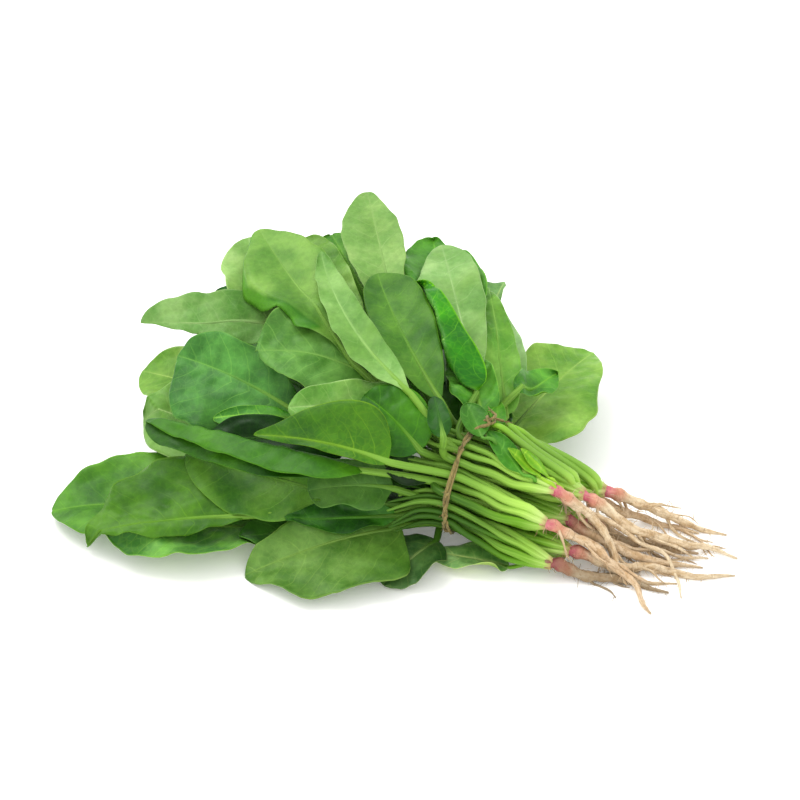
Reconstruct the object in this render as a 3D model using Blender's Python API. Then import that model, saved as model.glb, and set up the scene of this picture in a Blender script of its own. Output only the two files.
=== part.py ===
"""A bunch of spinach plants lying on a surface, with their leaves, crowns and roots, held by one tie.

Every leaf is one closed solid: a round stalk that leaves its crown, passes through the tie and opens into
a thin blade. Every crown is one solid with its taproot. Lengths are in millimetres and angles in degrees
until build_object turns them into metres. While the bunch is laid out, its origin is the floor point
under the middle of the tie.
"""

import math

import bpy
import numpy as np

METRES = 0.001

# The bundle runs from the leaves to the roots along ROOT_WAY and is tied across it.
ROOT_WAY_ANGLE = -22.0
TIE_HEIGHT = 32.0
TIE_HALF_WIDTH = 33.0
TIE_HALF_HEIGHT = 28.0
TIE_CORD = 1.7
TIE_BAND = 4.2
TIE_SEGMENTS = 48

STALK_RADIUS = 3.6
STALK_END_RADIUS = 2.0
STALK_END_RING = 3.7
STALK_SWELL_LENGTH = 24.0
STALK_EXIT = 8.0
STALK_BLADE_RADIUS = 1.9
RIB_TIP_RADIUS = 0.45
BLADE_THICKNESS = 0.9
CLEARANCE = 0.35
ROW_PITCH = 7.4
SLOT_PITCH = 8.2
MOST_LEAVES_PER_PLANT = 5

# Planes across the bundle, one PLANE_STEP apart, carry the stalks and roots.
PLANE_STEP = 6.0
LAST_PLANE = 25
PLANES_PER_SECTION = 2

CROWN_RADIUS = 5.3
ROOT_TIP_RADIUS = 0.7

# Leaves settle along SETTLE_LEAN, tipped from straight up towards the front.
SETTLE_LEAN = 20.0
SETTLE_CELL = 1.5
SETTLE_GAP = 0.6
SETTLE_SPAN = 640.0
SETTLE_ROUNDS = 5
SPREAD_ROUNDS = 6
STALK_SHADOW = 0.4
CROSSING_SAMPLES = 8
LEAST_SLIMMING = 0.3

# How a blade's half width grows from its base and closes at its tip.
OUTLINES = {
    "oval": (0.55, 0.62),
    "lance": (0.75, 0.80),
    "round": (0.50, 0.50),
    "spade": (0.38, 0.78),
}

# One row of leaves for each layer of stalks in the tie, lowest first and back to front in a layer.
# name, outline, base (heading, reach, height), tip (heading, reach, height), half widths (left, right),
# arch, roll, curl of the left and right edges.
LEAF_ROWS = [
    [
        ("leaf_right_floor", "round", (66, 64, 26), (60, 158, 22), (28, 38), 8, 0, 15, 0),
        ("leaf_back_low_middle", "oval", (112, 90, 20), (112, 185, 12), (36, 36), 14, 0, 10, 10),
        ("leaf_left_floor", "oval", (176, 134, 10), (178, 222, 5), (34, 34), 6, 0, 10, 20),
        ("leaf_left_under", "oval", (185, 104, 8), (185, 191, 3), (30, 28), 6, 0, 15, 15),
        ("leaf_front_tucked", "oval", (233, 26, 8), (229, 66, 2), (18, 18), 4, 0, 10, 10),
    ],
    [
        ("leaf_right_back", "spade", (86, 76, 58), (80, 149, 64), (16, 5), 8, 0, 10, 20),
        ("leaf_back_low_right", "oval", (95, 80, 30), (92, 160, 24), (30, 26), 14, 0, 10, 10),
        ("leaf_back_low_left", "oval", (138, 110, 34), (140, 185, 28), (30, 30), 12, 0, 10, 10),
        ("leaf_front_small", "oval", (186, 72, 12), (190, 120, 3), (16, 16), 6, 0, 10, 10),
        ("leaf_left_crinkled", "spade", (190, 117, 24), (186, 200, 3), (12, 30), 12, 10, 0, 15),
        ("leaf_front_floor", "spade", (207, 38, 14), (200, 122, 2), (36, 24), 8, 5, 10, 10),
    ],
    [
        ("leaf_right_thin", "oval", (66, 62, 40), (77, 126, 50), (16, 15), 8, 0, 20, 20),
        ("leaf_back_dark", "oval", (118, 90, 66), (115, 176, 88), (28, 28), 8, 0, 10, 10),
        ("leaf_back_left_small", "oval", (135, 128, 62), (141, 178, 78), (18, 18), 6, 0, 10, 10),
        ("leaf_left_pale", "oval", (155, 128, 36), (153, 202, 36), (26, 28), 8, 5, 10, 10),
        ("leaf_left_pale_low", "oval", (163, 114, 32), (161, 187, 27), (28, 26), 8, 10, 10, 10),
        ("leaf_left_wide", "oval", (187, 72, 28), (174, 149, 28), (28, 26), 10, 15, 10, 15),
        ("leaf_front_narrow", "lance", (203, 40, 20), (189, 94, 14), (9, 9), 5, 10, 30, 30),
    ],
    [
        ("leaf_right_crinkled", "lance", (72, 46, 50), (83, 124, 64), (18, 17), 10, 0, 20, 20),
        ("leaf_back_broad", "round", (96, 78, 62), (95, 174, 76), (21, 28), 8, 0, 10, 10),
        ("leaf_back_torn", "round", (143, 134, 70), (129, 193, 92), (24, 24), 6, 0, 10, 10),
        ("leaf_left_long", "lance", (135, 127, 60), (153, 200, 72), (14, 19), 8, 5, 5, 10),
        ("leaf_left_dark", "round", (159, 95, 50), (155, 173, 62), (36, 20), 8, 20, 0, 5),
        ("leaf_left_dark_low", "oval", (161, 94, 50), (166, 139, 52), (10, 10), 6, 5, 10, 10),
        ("leaf_front_lobed", "round", (205, 42, 40), (192, 84, 38), (16, 14), 6, 15, 20, 10),
    ],
    [
        ("leaf_right_fold", "lance", (64, 52, 44), (57, 98, 40), (10, 9), 5, 0, 30, 30),
        ("leaf_back_tall", "oval", (117, 78, 76), (106, 196, 100), (20, 14), 8, 0, 10, 10),
        ("leaf_back_yellow", "round", (136, 84, 70), (122, 174, 92), (18, 17), 8, 0, 10, 10),
        ("leaf_centre_veined", "round", (136, 57, 64), (154, 123, 78), (24, 28), 8, 0, 5, 10),
        ("leaf_left_inner", "oval", (169, 73, 46), (167, 143, 44), (16, 11), 8, 5, 10, 10),
        ("leaf_left_rolled", "oval", (199, 56, 48), (171, 172, 45), (16, 25), 8, 15, 0, 0),
        ("leaf_inner_sheath", "oval", (205, 20, 40), (196, 44, 38), (8, 8), 2, 10, 10, 10),
    ],
    [
        ("leaf_top_ribbed", "oval", (122, 26, 68), (113, 121, 91), (15, 20), 8, 0, 10, 10),
        ("leaf_top_left", "oval", (141, 79, 74), (129, 182, 102), (38, 24), 8, 0, 0, 10),
        ("leaf_centre_band", "oval", (147, 30, 62), (171, 94, 68), (14, 17), 6, 5, 10, 10),
        ("leaf_centre_crinkled", "oval", (200, 26, 58), (162, 56, 74), (20, 18), 6, 10, 20, 20),
        ("leaf_centre_pointed", "lance", (208, 46, 60), (182, 110, 64), (5, 26), 8, 10, 10, 10),
    ],
    [
        ("leaf_top_folded", "oval", (98, 34, 62), (94, 155, 84), (34, 22), 10, 0, 0, 10),
        ("leaf_inner_small", "oval", (84, 14, 62), (79, 56, 70), (10, 9), 4, 0, 20, 20),
        ("leaf_top_long", "lance", (152, 34, 74), (124, 140, 100), (12, 12), 10, 0, 10, 10),
        ("leaf_inner_curled", "oval", (168, 20, 64), (157, 36, 74), (9, 9), 3, 0, 30, 30),
    ],
]

# A young leaf that lies under the front stalks and doesn't reach the tie, with its crown's index.
# Its base and tip are (along the bundle, across it, height).
TUCKED_LEAF = ("leaf_under_stalks", "oval", (34, -27, 4), (-8, -31, 4), (11, 11), 2, 0, 10, 10)
TUCKED_LEAF_CROWN = 5
TUCKED_STALK_RADIUS = 1.6
TUCKED_ROOM_PLANES = 7
TUCKED_ROOM_ACROSS = (-46.0, -14.0)
TUCKED_ROOM_HEIGHT = 8.0

# name, crown (plane, across the bundle, height), root tip (plane, across the bundle)
PLANTS = [
    ("root_top", (8, -4, 43), (20, -16)),
    ("root_right", (10, 9, 34), (24, 28)),
    ("root_far_right", (11, 30, 23), (22, 46)),
    ("root_front", (8, -18, 30), (19, -34)),
    ("root_low_front", (10, -11, 12), (24, 6)),
    ("root_bottom", (9, -24, 10), (19, -14)),
    ("root_middle", (9, 5, 19), (22, 16)),
    ("root_low_back", (10, 18, 9), (20, 24)),
    ("root_back", (8, 33, 20), (19, 40)),
]


def bundle_axes():
    """The unit vectors along the bundle towards its roots, and across it towards its back."""
    turn = math.radians(ROOT_WAY_ANGLE)
    along = np.array([math.cos(turn), math.sin(turn), 0.0])
    across = np.array([-math.sin(turn), math.cos(turn), 0.0])
    return along, across


ALONG, ACROSS = bundle_axes()
UP = np.array([0.0, 0.0, 1.0])


def bundle_point(along, across, height):
    return ALONG * along + ACROSS * across + UP * height


def reach_point(heading, reach, height):
    """The point at this heading and distance from the axis through the tie, at this height."""
    turn = math.radians(heading)
    return np.array([reach * math.cos(turn), reach * math.sin(turn), height])


def unit(vector):
    return vector / np.linalg.norm(vector)


def smooth(value):
    """0 up to 0, 1 from 1 on, and level at both ends."""
    t = np.clip(value, 0.0, 1.0)
    return t * t * (3.0 - 2.0 * t)


# Stalks and roots: circles in the planes across the bundle


def tie_slots():
    """Where each leaf's stalk passes the tie: (across, height), in the order of LEAF_ROWS."""
    slots = []
    for layer, row in enumerate(LEAF_ROWS):
        height = TIE_HEIGHT + (layer - (len(LEAF_ROWS) - 1) / 2) * ROW_PITCH
        for place in range(len(row)):
            slots.append([((len(row) - 1) / 2 - place) * SLOT_PITCH, height])
    slots = np.array(slots)
    room = np.array([TIE_HALF_WIDTH, TIE_HALF_HEIGHT]) - TIE_CORD - STALK_RADIUS - CLEARANCE
    middle = np.array([0.0, TIE_HEIGHT])
    for _ in range(200):
        slots += pushes(slots[:, None, :], np.full((len(slots), 1), STALK_RADIUS))[:, 0, :]
        outside = np.linalg.norm((slots - middle) / room, axis=1)
        inside = np.minimum(1.0, 1.0 / np.maximum(outside, 1e-9))
        slots = middle + (slots - middle) * inside[:, None]
    return slots


def pushes(centres, radii, movable=None, apart=None):
    """How far each circle moves to clear the others in its plane. centres is (rod, plane, 2)."""
    gap = centres[:, None] - centres[None, :]
    distance = np.linalg.norm(gap, axis=3)
    wanted = radii[:, None] + radii[None, :] + CLEARANCE
    short = np.clip(wanted - distance, 0.0, None)
    short[np.arange(len(centres)), np.arange(len(centres))] = 0.0
    if apart is not None:
        short = np.where(apart, short, 0.0)
    share = 0.5
    if movable is not None:
        both = movable[:, None] + movable[None, :]
        share = np.where(both > 0, movable[:, None] / np.maximum(both, 1e-9), 0.0)
    way = gap / np.maximum(distance, 1e-6)[..., None]
    return (way * (short * share)[..., None]).sum(axis=1)


def shared_out(slots):
    """The plant of each leaf: the nearest crowns that leave no plant with too many."""
    crowns = np.array([[across, height] for _, (_, across, height), _ in PLANTS])
    middle = crowns.mean(axis=0)
    spread = np.abs(slots - slots.mean(axis=0)).mean(axis=0) / np.abs(crowns - middle).mean(axis=0)
    crowns = slots.mean(axis=0) + (crowns - middle) * spread
    cost = ((slots[:, None] - crowns[None]) ** 2).sum(axis=2)
    room = [MOST_LEAVES_PER_PLANT] * len(PLANTS)
    room[TUCKED_LEAF_CROWN] -= 1
    plant = np.full(len(slots), -1)
    for index in np.argsort(cost, axis=None):
        leaf, crown = divmod(int(index), len(PLANTS))
        if plant[leaf] < 0 and room[crown] > 0:
            plant[leaf] = crown
            room[crown] -= 1
    better = True
    while better:
        better = False
        for a in range(len(slots)):
            for b in range(a + 1, len(slots)):
                now = cost[a, plant[a]] + cost[b, plant[b]]
                if cost[a, plant[b]] + cost[b, plant[a]] < now - 1e-9:
                    plant[a], plant[b] = plant[b], plant[a]
                    better = True
    return plant


def ring_places(index, offsets):
    """Angles round a crown for stalks that leave it in these directions, in order."""
    angles = np.arctan2(offsets[:, 1], offsets[:, 0])
    if index == TUCKED_LEAF_CROWN:
        # The lowest place is kept for the leaf that lies under the stalks.
        order = np.argsort((angles + math.pi / 2) % (2 * math.pi))
        pitch = 2 * math.pi / (len(offsets) + 1)
        first = pitch - math.pi / 2
    else:
        order = np.argsort(angles)
        pitch = 2 * math.pi / len(offsets)
        first = (angles[order] - pitch * np.arange(len(offsets))).mean()
    places = np.zeros(len(offsets))
    places[order] = first + pitch * np.arange(len(offsets))
    return places


def crown_ends(slots, plant):
    """Where each stalk meets its crown: (plane, across, height), set round the crown in order."""
    ends = np.zeros((len(slots), 3))
    for index, (_, (plane, across, height), _) in enumerate(PLANTS):
        mine = np.flatnonzero(plant == index)
        places = ring_places(index, slots[mine] - slots[mine].mean(axis=0))
        ends[mine, 0] = plane
        ends[mine, 1] = across + STALK_END_RING * np.cos(places)
        ends[mine, 2] = height + STALK_END_RING * np.sin(places)
    return ends


def stalk_radius(from_crown):
    """The stalk's radius this far from its crown."""
    return STALK_END_RADIUS + (STALK_RADIUS - STALK_END_RADIUS) * smooth(from_crown / STALK_SWELL_LENGTH)


def root_radius(share):
    """The radius of a crown and its taproot, from 0 at the crown to 1 at the tip."""
    return ROOT_TIP_RADIUS + (CROWN_RADIUS - ROOT_TIP_RADIUS) * (1.0 - share) ** 1.25


def tucked_room(across):
    """How high the stalks stay off the floor where the tucked leaf lies, plane by plane."""
    over = (across > TUCKED_ROOM_ACROSS[0]) & (across < TUCKED_ROOM_ACROSS[1])
    over[:, TUCKED_ROOM_PLANES:] = False
    return over * TUCKED_ROOM_HEIGHT


def lay_rods(slots, plant, ends):
    """Centres and radii of every stalk and root in every plane, pushed clear of each other."""
    planes = np.arange(LAST_PLANE)
    rods = len(slots) + len(PLANTS)
    centres = np.zeros((rods, LAST_PLANE, 2))
    radii = np.full((rods, LAST_PLANE), STALK_END_RADIUS)
    there = np.zeros((rods, LAST_PLANE), bool)
    movable = np.zeros((rods, LAST_PLANE))
    for leaf in range(len(slots)):
        last = int(ends[leaf, 0])
        share = 1.0 - (1.0 - planes[: last + 1] / last) ** 1.7
        lean = smooth(share)[:, None]
        centres[leaf, : last + 1] = slots[leaf] * (1 - lean) + ends[leaf, 1:] * lean
        radii[leaf, : last + 1] = stalk_radius((last - planes[: last + 1]) * PLANE_STEP)
        there[leaf, : last + 1] = True
        movable[leaf, 1:last] = 1.0
    for index, (_, (first, across, height), (last, tip_across)) in enumerate(PLANTS):
        rod = len(slots) + index
        share = np.linspace(0.0, 1.0, last - first + 1)
        radius = root_radius(share)
        fall = smooth(share * 1.25)
        centres[rod, first : last + 1, 0] = across + (tip_across - across) * share
        centres[rod, first : last + 1, 1] = height * (1 - fall) + (radius + CLEARANCE) * fall
        radii[rod, first : last + 1] = radius
        there[rod, first : last + 1] = True
        movable[rod, first + 1 : last + 1] = 1.0
    apart = there[:, None] & there[None, :]
    for leaf in range(len(slots)):
        rod = len(slots) + plant[leaf]
        apart[leaf, rod] = False
        apart[rod, leaf] = False
    inner = there[:, 1:-1] & there[:, :-2] & there[:, 2:] & (movable[:, 1:-1] > 0)
    for turn in range(400):
        if turn < 320:
            even = (centres[:, :-2] + centres[:, 2:]) / 2 - centres[:, 1:-1]
            centres[:, 1:-1] += np.where(inner[..., None], even * 0.25, 0.0)
        centres += np.where(movable[..., None] > 0, pushes(centres, radii, movable, apart) * 0.7, 0.0)
        lowest = radii + CLEARANCE + tucked_room(centres[..., 0]) * there
        centres[..., 1] = np.where(there, np.maximum(centres[..., 1], lowest), centres[..., 1])
    return centres, radii


# Leaves: sections along a spine

# The points round a section: across from the right edge (-1) to the left (+1), above or below.
RING = [(-1.0, 0), (-0.5, 1), (0.0, 1), (0.5, 1), (1.0, 0), (0.5, -1), (0.0, -1), (-0.5, -1)]
COLUMNS = [0, 1, 2, 3, 4, 3, 2, 1]
STALK_STEPS = 4
BLADE_STEPS = 11
# The shares of a blade at which its outline starts and how much of it is used, and where it opens and curls
OUTLINE_START = 0.04
OUTLINE_REACH = 0.94
BLADE_OPENS = 0.15
CURL_OPENS = 0.3


def round_section(centre, left, top, radius):
    """A circle of the stalk, with its points in the order of RING."""
    points = []
    for index in range(len(RING)):
        turn = math.pi - 2 * math.pi * index / len(RING)
        points.append(centre + radius * (math.cos(turn) * left + math.sin(turn) * top))
    return np.array(points)


def edge_curve(share, curl):
    """How far out and up a blade's surface is, at this share of its half width, and its slope there."""
    if abs(curl) < 1e-6:
        return share, 0.0, 0.0
    start = 0.15
    if share <= start:
        return share, 0.0, 0.0
    slope = curl * (share - start) / (1 - start)
    out = start + (1 - start) / curl * math.sin(slope)
    up = (1 - start) / curl * (1 - math.cos(slope))
    return out, up, slope


def blade_section(centre, left, top, halves, curls, rib):
    """A section of the blade, thin towards its edges and thicker under its midrib."""
    points = []
    for across, side in RING:
        half, curl = (halves[0], curls[0]) if across > 0 else (halves[1], curls[1])
        out, up, slope = edge_curve(abs(across), curl)
        sign = 1.0 if across > 0 else -1.0
        point = centre + left * (sign * out * half) + top * (up * half)
        normal = top * math.cos(slope) - left * (sign * math.sin(slope))
        thick = BLADE_THICKNESS / 2
        if across == 0.0:
            thick = max(thick, 0.5 * rib if side > 0 else 1.3 * rib)
        points.append(point + normal * (side * thick))
    return np.array(points)


def hermite(start, start_way, end, end_way, t):
    a = 2 * t**3 - 3 * t**2 + 1
    b = t**3 - 2 * t**2 + t
    c = -2 * t**3 + 3 * t**2
    d = t**3 - t**2
    return start * a + start_way * b + end * c + end_way * d


def frame_at(way, top_hint):
    """The left and top directions of a section square to way."""
    left = unit(np.cross(top_hint, way))
    return left, np.cross(way, left)


def blade_top(lean, roll, way):
    """Which way a blade faces: up, leaning to the front, and rolled about its own length."""
    hint = np.array([0.0, -math.sin(math.radians(lean)), math.cos(math.radians(lean))])
    left, top = frame_at(way, hint)
    turn = math.radians(roll)
    return top * math.cos(turn) + left * math.sin(turn)


def leaf_sections(leaf, base, tip, start, start_way, stalk, lean):
    """All sections of one leaf, and how freely each may be lifted as the leaf settles."""
    _, outline, _, _, halves, arch, roll, left_curl, right_curl = leaf
    middle = (base + tip) / 2 + UP * arch
    base_way = unit(middle - base)
    hint = blade_top(lean, roll, base_way)
    sections = list(stalk)
    loose = [0.0] * len(stalk)
    run = np.linalg.norm(base - start)
    for step in range(1, STALK_STEPS):
        t = step / STALK_STEPS
        here = hermite(start, start_way * run, base, base_way * run * 0.8, t)
        ahead = hermite(start, start_way * run, base, base_way * run * 0.8, t + 0.02)
        way = unit(ahead - here)
        left, top = frame_at(way, UP * (1 - t) + hint * t)
        radius = STALK_RADIUS + (STALK_BLADE_RADIUS - STALK_RADIUS) * t
        sections.append(round_section(here, left, top, radius))
        loose.append(t)
    grow, close = OUTLINES[outline]
    peak = grow / (grow + close)
    widest = peak**grow * (1 - peak) ** close
    for step in range(BLADE_STEPS):
        v = step / (BLADE_STEPS - 1)
        here = base * (1 - v) ** 2 + middle * 2 * v * (1 - v) + tip * v**2
        way = unit((middle - base) * (1 - v) + (tip - middle) * v)
        left, top = frame_at(way, hint)
        rib = STALK_BLADE_RADIUS + (RIB_TIP_RADIUS - STALK_BLADE_RADIUS) * v
        inner = OUTLINE_START + OUTLINE_REACH * v
        share = inner**grow * (1 - inner) ** close / widest
        curls = [math.radians(curl) * float(smooth(v / CURL_OPENS)) for curl in (left_curl, right_curl)]
        flat = blade_section(here, left, top, (halves[0] * share, halves[1] * share), curls, rib)
        full = round_section(here, left, top, rib)
        opened = float(smooth(v / BLADE_OPENS))
        sections.append(full * (1 - opened) + flat * opened)
        loose.append(1.0)
    return np.array(sections), np.array(loose)


def loft_faces(count):
    """Faces over sections of len(RING) points each, closed at both ends."""
    sides = len(RING)
    faces = [tuple(range(sides))]
    for section in range(count - 1):
        for index in range(sides):
            a = section * sides + index
            b = section * sides + (index + 1) % sides
            faces.append((b, a, a + sides, b + sides))
    faces.append(tuple(reversed(range((count - 1) * sides, count * sides))))
    return faces


# Settling: each leaf is lifted until it clears what lies below it


def settle_axes():
    turn = math.radians(SETTLE_LEAN)
    up = np.array([0.0, -math.sin(turn), math.cos(turn)])
    back = np.array([0.0, math.cos(turn), math.sin(turn)])
    return up, back


SETTLE_UP, SETTLE_BACK = settle_axes()
SETTLE_CELLS = int(SETTLE_SPAN / SETTLE_CELL)


def floor_heights():
    """The floor, as heights over a grid of cells square to SETTLE_UP."""
    back = (np.arange(SETTLE_CELLS) + 0.5) * SETTLE_CELL - SETTLE_SPAN / 2
    floor = -back * math.tan(math.radians(SETTLE_LEAN))
    return np.repeat(floor[None, :], SETTLE_CELLS, axis=0)


def side_triangles(count):
    """The triangles over the sides of a loft, as point indices."""
    sides = len(RING)
    section, index = np.divmod(np.arange((count - 1) * sides), sides)
    a = section * sides + index
    b = section * sides + (index + 1) % sides
    return np.concatenate([np.stack([b, a, a + sides], 1), np.stack([b, a + sides, b + sides], 1)])


def lattice(steps):
    """Barycentric weights spread evenly over a triangle."""
    weights = []
    for i in range(steps + 1):
        for j in range(steps + 1 - i):
            weights.append((i / steps, j / steps, (steps - i - j) / steps))
    return np.array(weights)


LATTICE = lattice(14)


def cells_and_heights(points, triangles):
    """The cell and the height of sample points spread over the triangles."""
    corners = points[triangles]
    samples = np.einsum("kc,tcx->tkx", LATTICE, corners)
    height = samples @ SETTLE_UP
    across = ((samples[..., 0] + SETTLE_SPAN / 2) / SETTLE_CELL).astype(int)
    back = ((samples @ SETTLE_BACK + SETTLE_SPAN / 2) / SETTLE_CELL).astype(int)
    return across, back, height


def spread(lift):
    """The lifts made smooth over the blade, and nowhere lower than they were."""
    wide = lift.copy()
    for _ in range(SPREAD_ROUNDS):
        padded = np.pad(wide, 1, mode="edge")
        around = padded[1:-1, :-2] + padded[1:-1, 2:] + padded[:-2, 1:-1] + padded[2:, 1:-1]
        wide = np.maximum(lift, (around + 2 * wide) / 6)
    return wide


def narrowed(sections, stalk):
    """The sections with their stalk made narrow, so that stalks side by side don't lift each other."""
    thin = sections.copy()
    middle = thin[:stalk].mean(axis=1, keepdims=True)
    left = thin[:stalk, 4] - thin[:stalk, 0]
    left /= np.linalg.norm(left, axis=1, keepdims=True)
    offset = ((thin[:stalk] - middle) * left[:, None]).sum(axis=2, keepdims=True)
    thin[:stalk] -= offset * left[:, None] * (1 - STALK_SHADOW)
    return thin


def settle(sections, loose, ground):
    """Lifts the leaf's sections clear of the ground below them, then adds the leaf to the ground."""
    count = len(sections)
    triangles = side_triangles(count)
    columns = np.array(COLUMNS)
    stalk = count - BLADE_STEPS + 1
    for _ in range(SETTLE_ROUNDS):
        across, back, height = cells_and_heights(narrowed(sections, stalk).reshape(-1, 3), triangles)
        short = (ground[across, back] + SETTLE_GAP - height).max(axis=1)
        lift = np.zeros((count, max(COLUMNS) + 1))
        for corner in range(3):
            section, index = np.divmod(triangles[:, corner], len(RING))
            np.maximum.at(lift, (section, columns[index]), short)
        lift[stalk - 1 :] = spread(lift[stalk - 1 :])
        needed = lift[:stalk].max(axis=1) * np.minimum(1.0, loose[:stalk] * STALK_STEPS)
        carried = lift[stalk - 1].mean() * loose[:stalk] ** 2
        lift[:stalk] = np.maximum(needed, carried)[:, None]
        if lift.max() < SETTLE_GAP / 10:
            break
        sections = sections + lift[:, columns, None] * SETTLE_UP
    across, back, height = cells_and_heights(narrowed(sections, stalk).reshape(-1, 3), triangles)
    np.maximum.at(ground, (across, back), height)
    return sections


def slim_crossing_stalks(laid):
    """Makes stalks thinner where two of them cross just past the tie, so that they stay apart."""
    names = list(laid)
    spots, radii, owners, places = [], [], [], []
    for owner, name in enumerate(names):
        sections = laid[name]
        last = len(sections) - BLADE_STEPS + 2
        first = last - STALK_STEPS - 2
        middles = sections[first:last].mean(axis=1)
        sizes = np.linalg.norm(sections[first:last] - middles[:, None], axis=2).min(axis=1)
        for index in range(len(middles) - 1):
            for share in np.linspace(0.0, 1.0, CROSSING_SAMPLES):
                spots.append(middles[index] * (1 - share) + middles[index + 1] * share)
                radii.append(sizes[index] * (1 - share) + sizes[index + 1] * share)
                owners.append(owner)
                places.append(first + index)
    spots, radii, owners = np.array(spots), np.array(radii), np.array(owners)
    distance = np.linalg.norm(spots[:, None] - spots[None], axis=2)
    ratio = (distance - CLEARANCE) / (radii[:, None] + radii[None])
    ratio[owners[:, None] == owners[None]] = 1.0
    tightest = ratio.min(axis=1)
    for index in np.flatnonzero(tightest < 1.0):
        sections = laid[names[owners[index]]]
        for place in (places[index], places[index] + 1):
            middle = sections[place].mean(axis=0)
            size = np.linalg.norm(sections[place] - middle, axis=1).min()
            thin = min(1.0, max(tightest[index], LEAST_SLIMMING) * radii[index] / size)
            sections[place] = middle + (sections[place] - middle) * thin


# Building


def material(name, colour, roughness):
    made = bpy.data.materials.new(name)
    made.use_nodes = True
    shader = made.node_tree.nodes["Principled BSDF"]
    shader.inputs["Base Color"].default_value = (*colour, 1.0)
    shader.inputs["Roughness"].default_value = roughness
    shader.inputs["Metallic"].default_value = 0.0
    return made


def build_object(name, points, faces, look, shift):
    mesh = bpy.data.meshes.new(name)
    mesh.from_pydata([tuple((point + shift) * METRES) for point in points], [], faces)
    mesh.update()
    mesh.shade_smooth()
    built = bpy.data.objects.new(name, mesh)
    bpy.context.scene.collection.objects.link(built)
    mesh.materials.append(look)
    return built


def stalk_in_planes(centres, radii, last):
    """The stalk's sections from its crown to the tie."""
    sections = []
    for plane in [last, *range(last - 1, 0, -PLANES_PER_SECTION), 0]:
        across, height = centres[plane]
        along = plane * PLANE_STEP - (CLEARANCE if plane == last else 0.0)
        centre = bundle_point(along, across, height)
        sections.append(round_section(centre, -ACROSS, UP, radii[plane]))
    sections.append(round_section(bundle_point(-STALK_EXIT, *centres[0]), -ACROSS, UP, radii[0]))
    return sections


def lay_leaves(slots, plant, ends, centres, radii):
    """The settled sections of every leaf, by name."""
    ground = floor_heights()
    laid = {}
    leaves = [(layer, leaf) for layer, row in enumerate(LEAF_ROWS) for leaf in row]
    for index, (layer, leaf) in enumerate(leaves):
        stalk = stalk_in_planes(centres[index], radii[index], int(ends[index, 0]))
        base = reach_point(*leaf[2])
        tip = reach_point(*leaf[3])
        start = bundle_point(-STALK_EXIT, *slots[index])
        lean = SETTLE_LEAN * min(1.0, layer / 3)
        sections, loose = leaf_sections(leaf, base, tip, start, -ALONG, stalk, lean)
        laid[leaf[0]] = settle(sections, loose, ground)
    slim_crossing_stalks(laid)
    return laid


def tucked_leaf():
    """The young leaf under the front stalks, whose short stalk starts at its own crown."""
    _, (plane, across, height), _ = PLANTS[TUCKED_LEAF_CROWN]
    along = plane * PLANE_STEP - CLEARANCE
    start = bundle_point(along, across, height - STALK_END_RING)
    stalk = [round_section(start, -ACROSS, UP, TUCKED_STALK_RADIUS)]
    base = bundle_point(*TUCKED_LEAF[2])
    tip = bundle_point(*TUCKED_LEAF[3])
    sections, _ = leaf_sections(TUCKED_LEAF, base, tip, start, -ALONG, stalk, 0.0)
    return sections


def root_sections(centres, radii, first, last):
    """A crown and its taproot, closed by a rounded tip."""
    sections = []
    for plane in [first, *range(first + 1, last, PLANES_PER_SECTION), last]:
        across, height = centres[plane]
        along = plane * PLANE_STEP + (CLEARANCE if plane == first else 0.0)
        sections.append(round_section(bundle_point(along, across, height), ACROSS, UP, radii[plane]))
    return np.array(sections)


def tie_ring():
    """Points and faces of the tie, a band round the stalks."""
    points = []
    profile = [
        (TIE_CORD, TIE_BAND * 0.3),
        (TIE_CORD, -TIE_BAND * 0.3),
        (TIE_CORD * 0.5, -TIE_BAND * 0.5),
        (0.0, -TIE_BAND * 0.3),
        (0.0, TIE_BAND * 0.3),
        (TIE_CORD * 0.5, TIE_BAND * 0.5),
    ]
    for step in range(TIE_SEGMENTS):
        turn = 2 * math.pi * step / TIE_SEGMENTS
        for inward, along in profile:
            across = (TIE_HALF_WIDTH - inward) * math.cos(turn)
            height = TIE_HEIGHT + (TIE_HALF_HEIGHT - inward) * math.sin(turn)
            points.append(bundle_point(along, across, height))
    faces = []
    sides = len(profile)
    for step in range(TIE_SEGMENTS):
        for side in range(sides):
            a = step * sides + side
            b = step * sides + (side + 1) % sides
            c = (step + 1) % TIE_SEGMENTS * sides + (side + 1) % sides
            d = (step + 1) % TIE_SEGMENTS * sides + side
            faces.append((d, c, b, a))
    return np.array(points), faces


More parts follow.
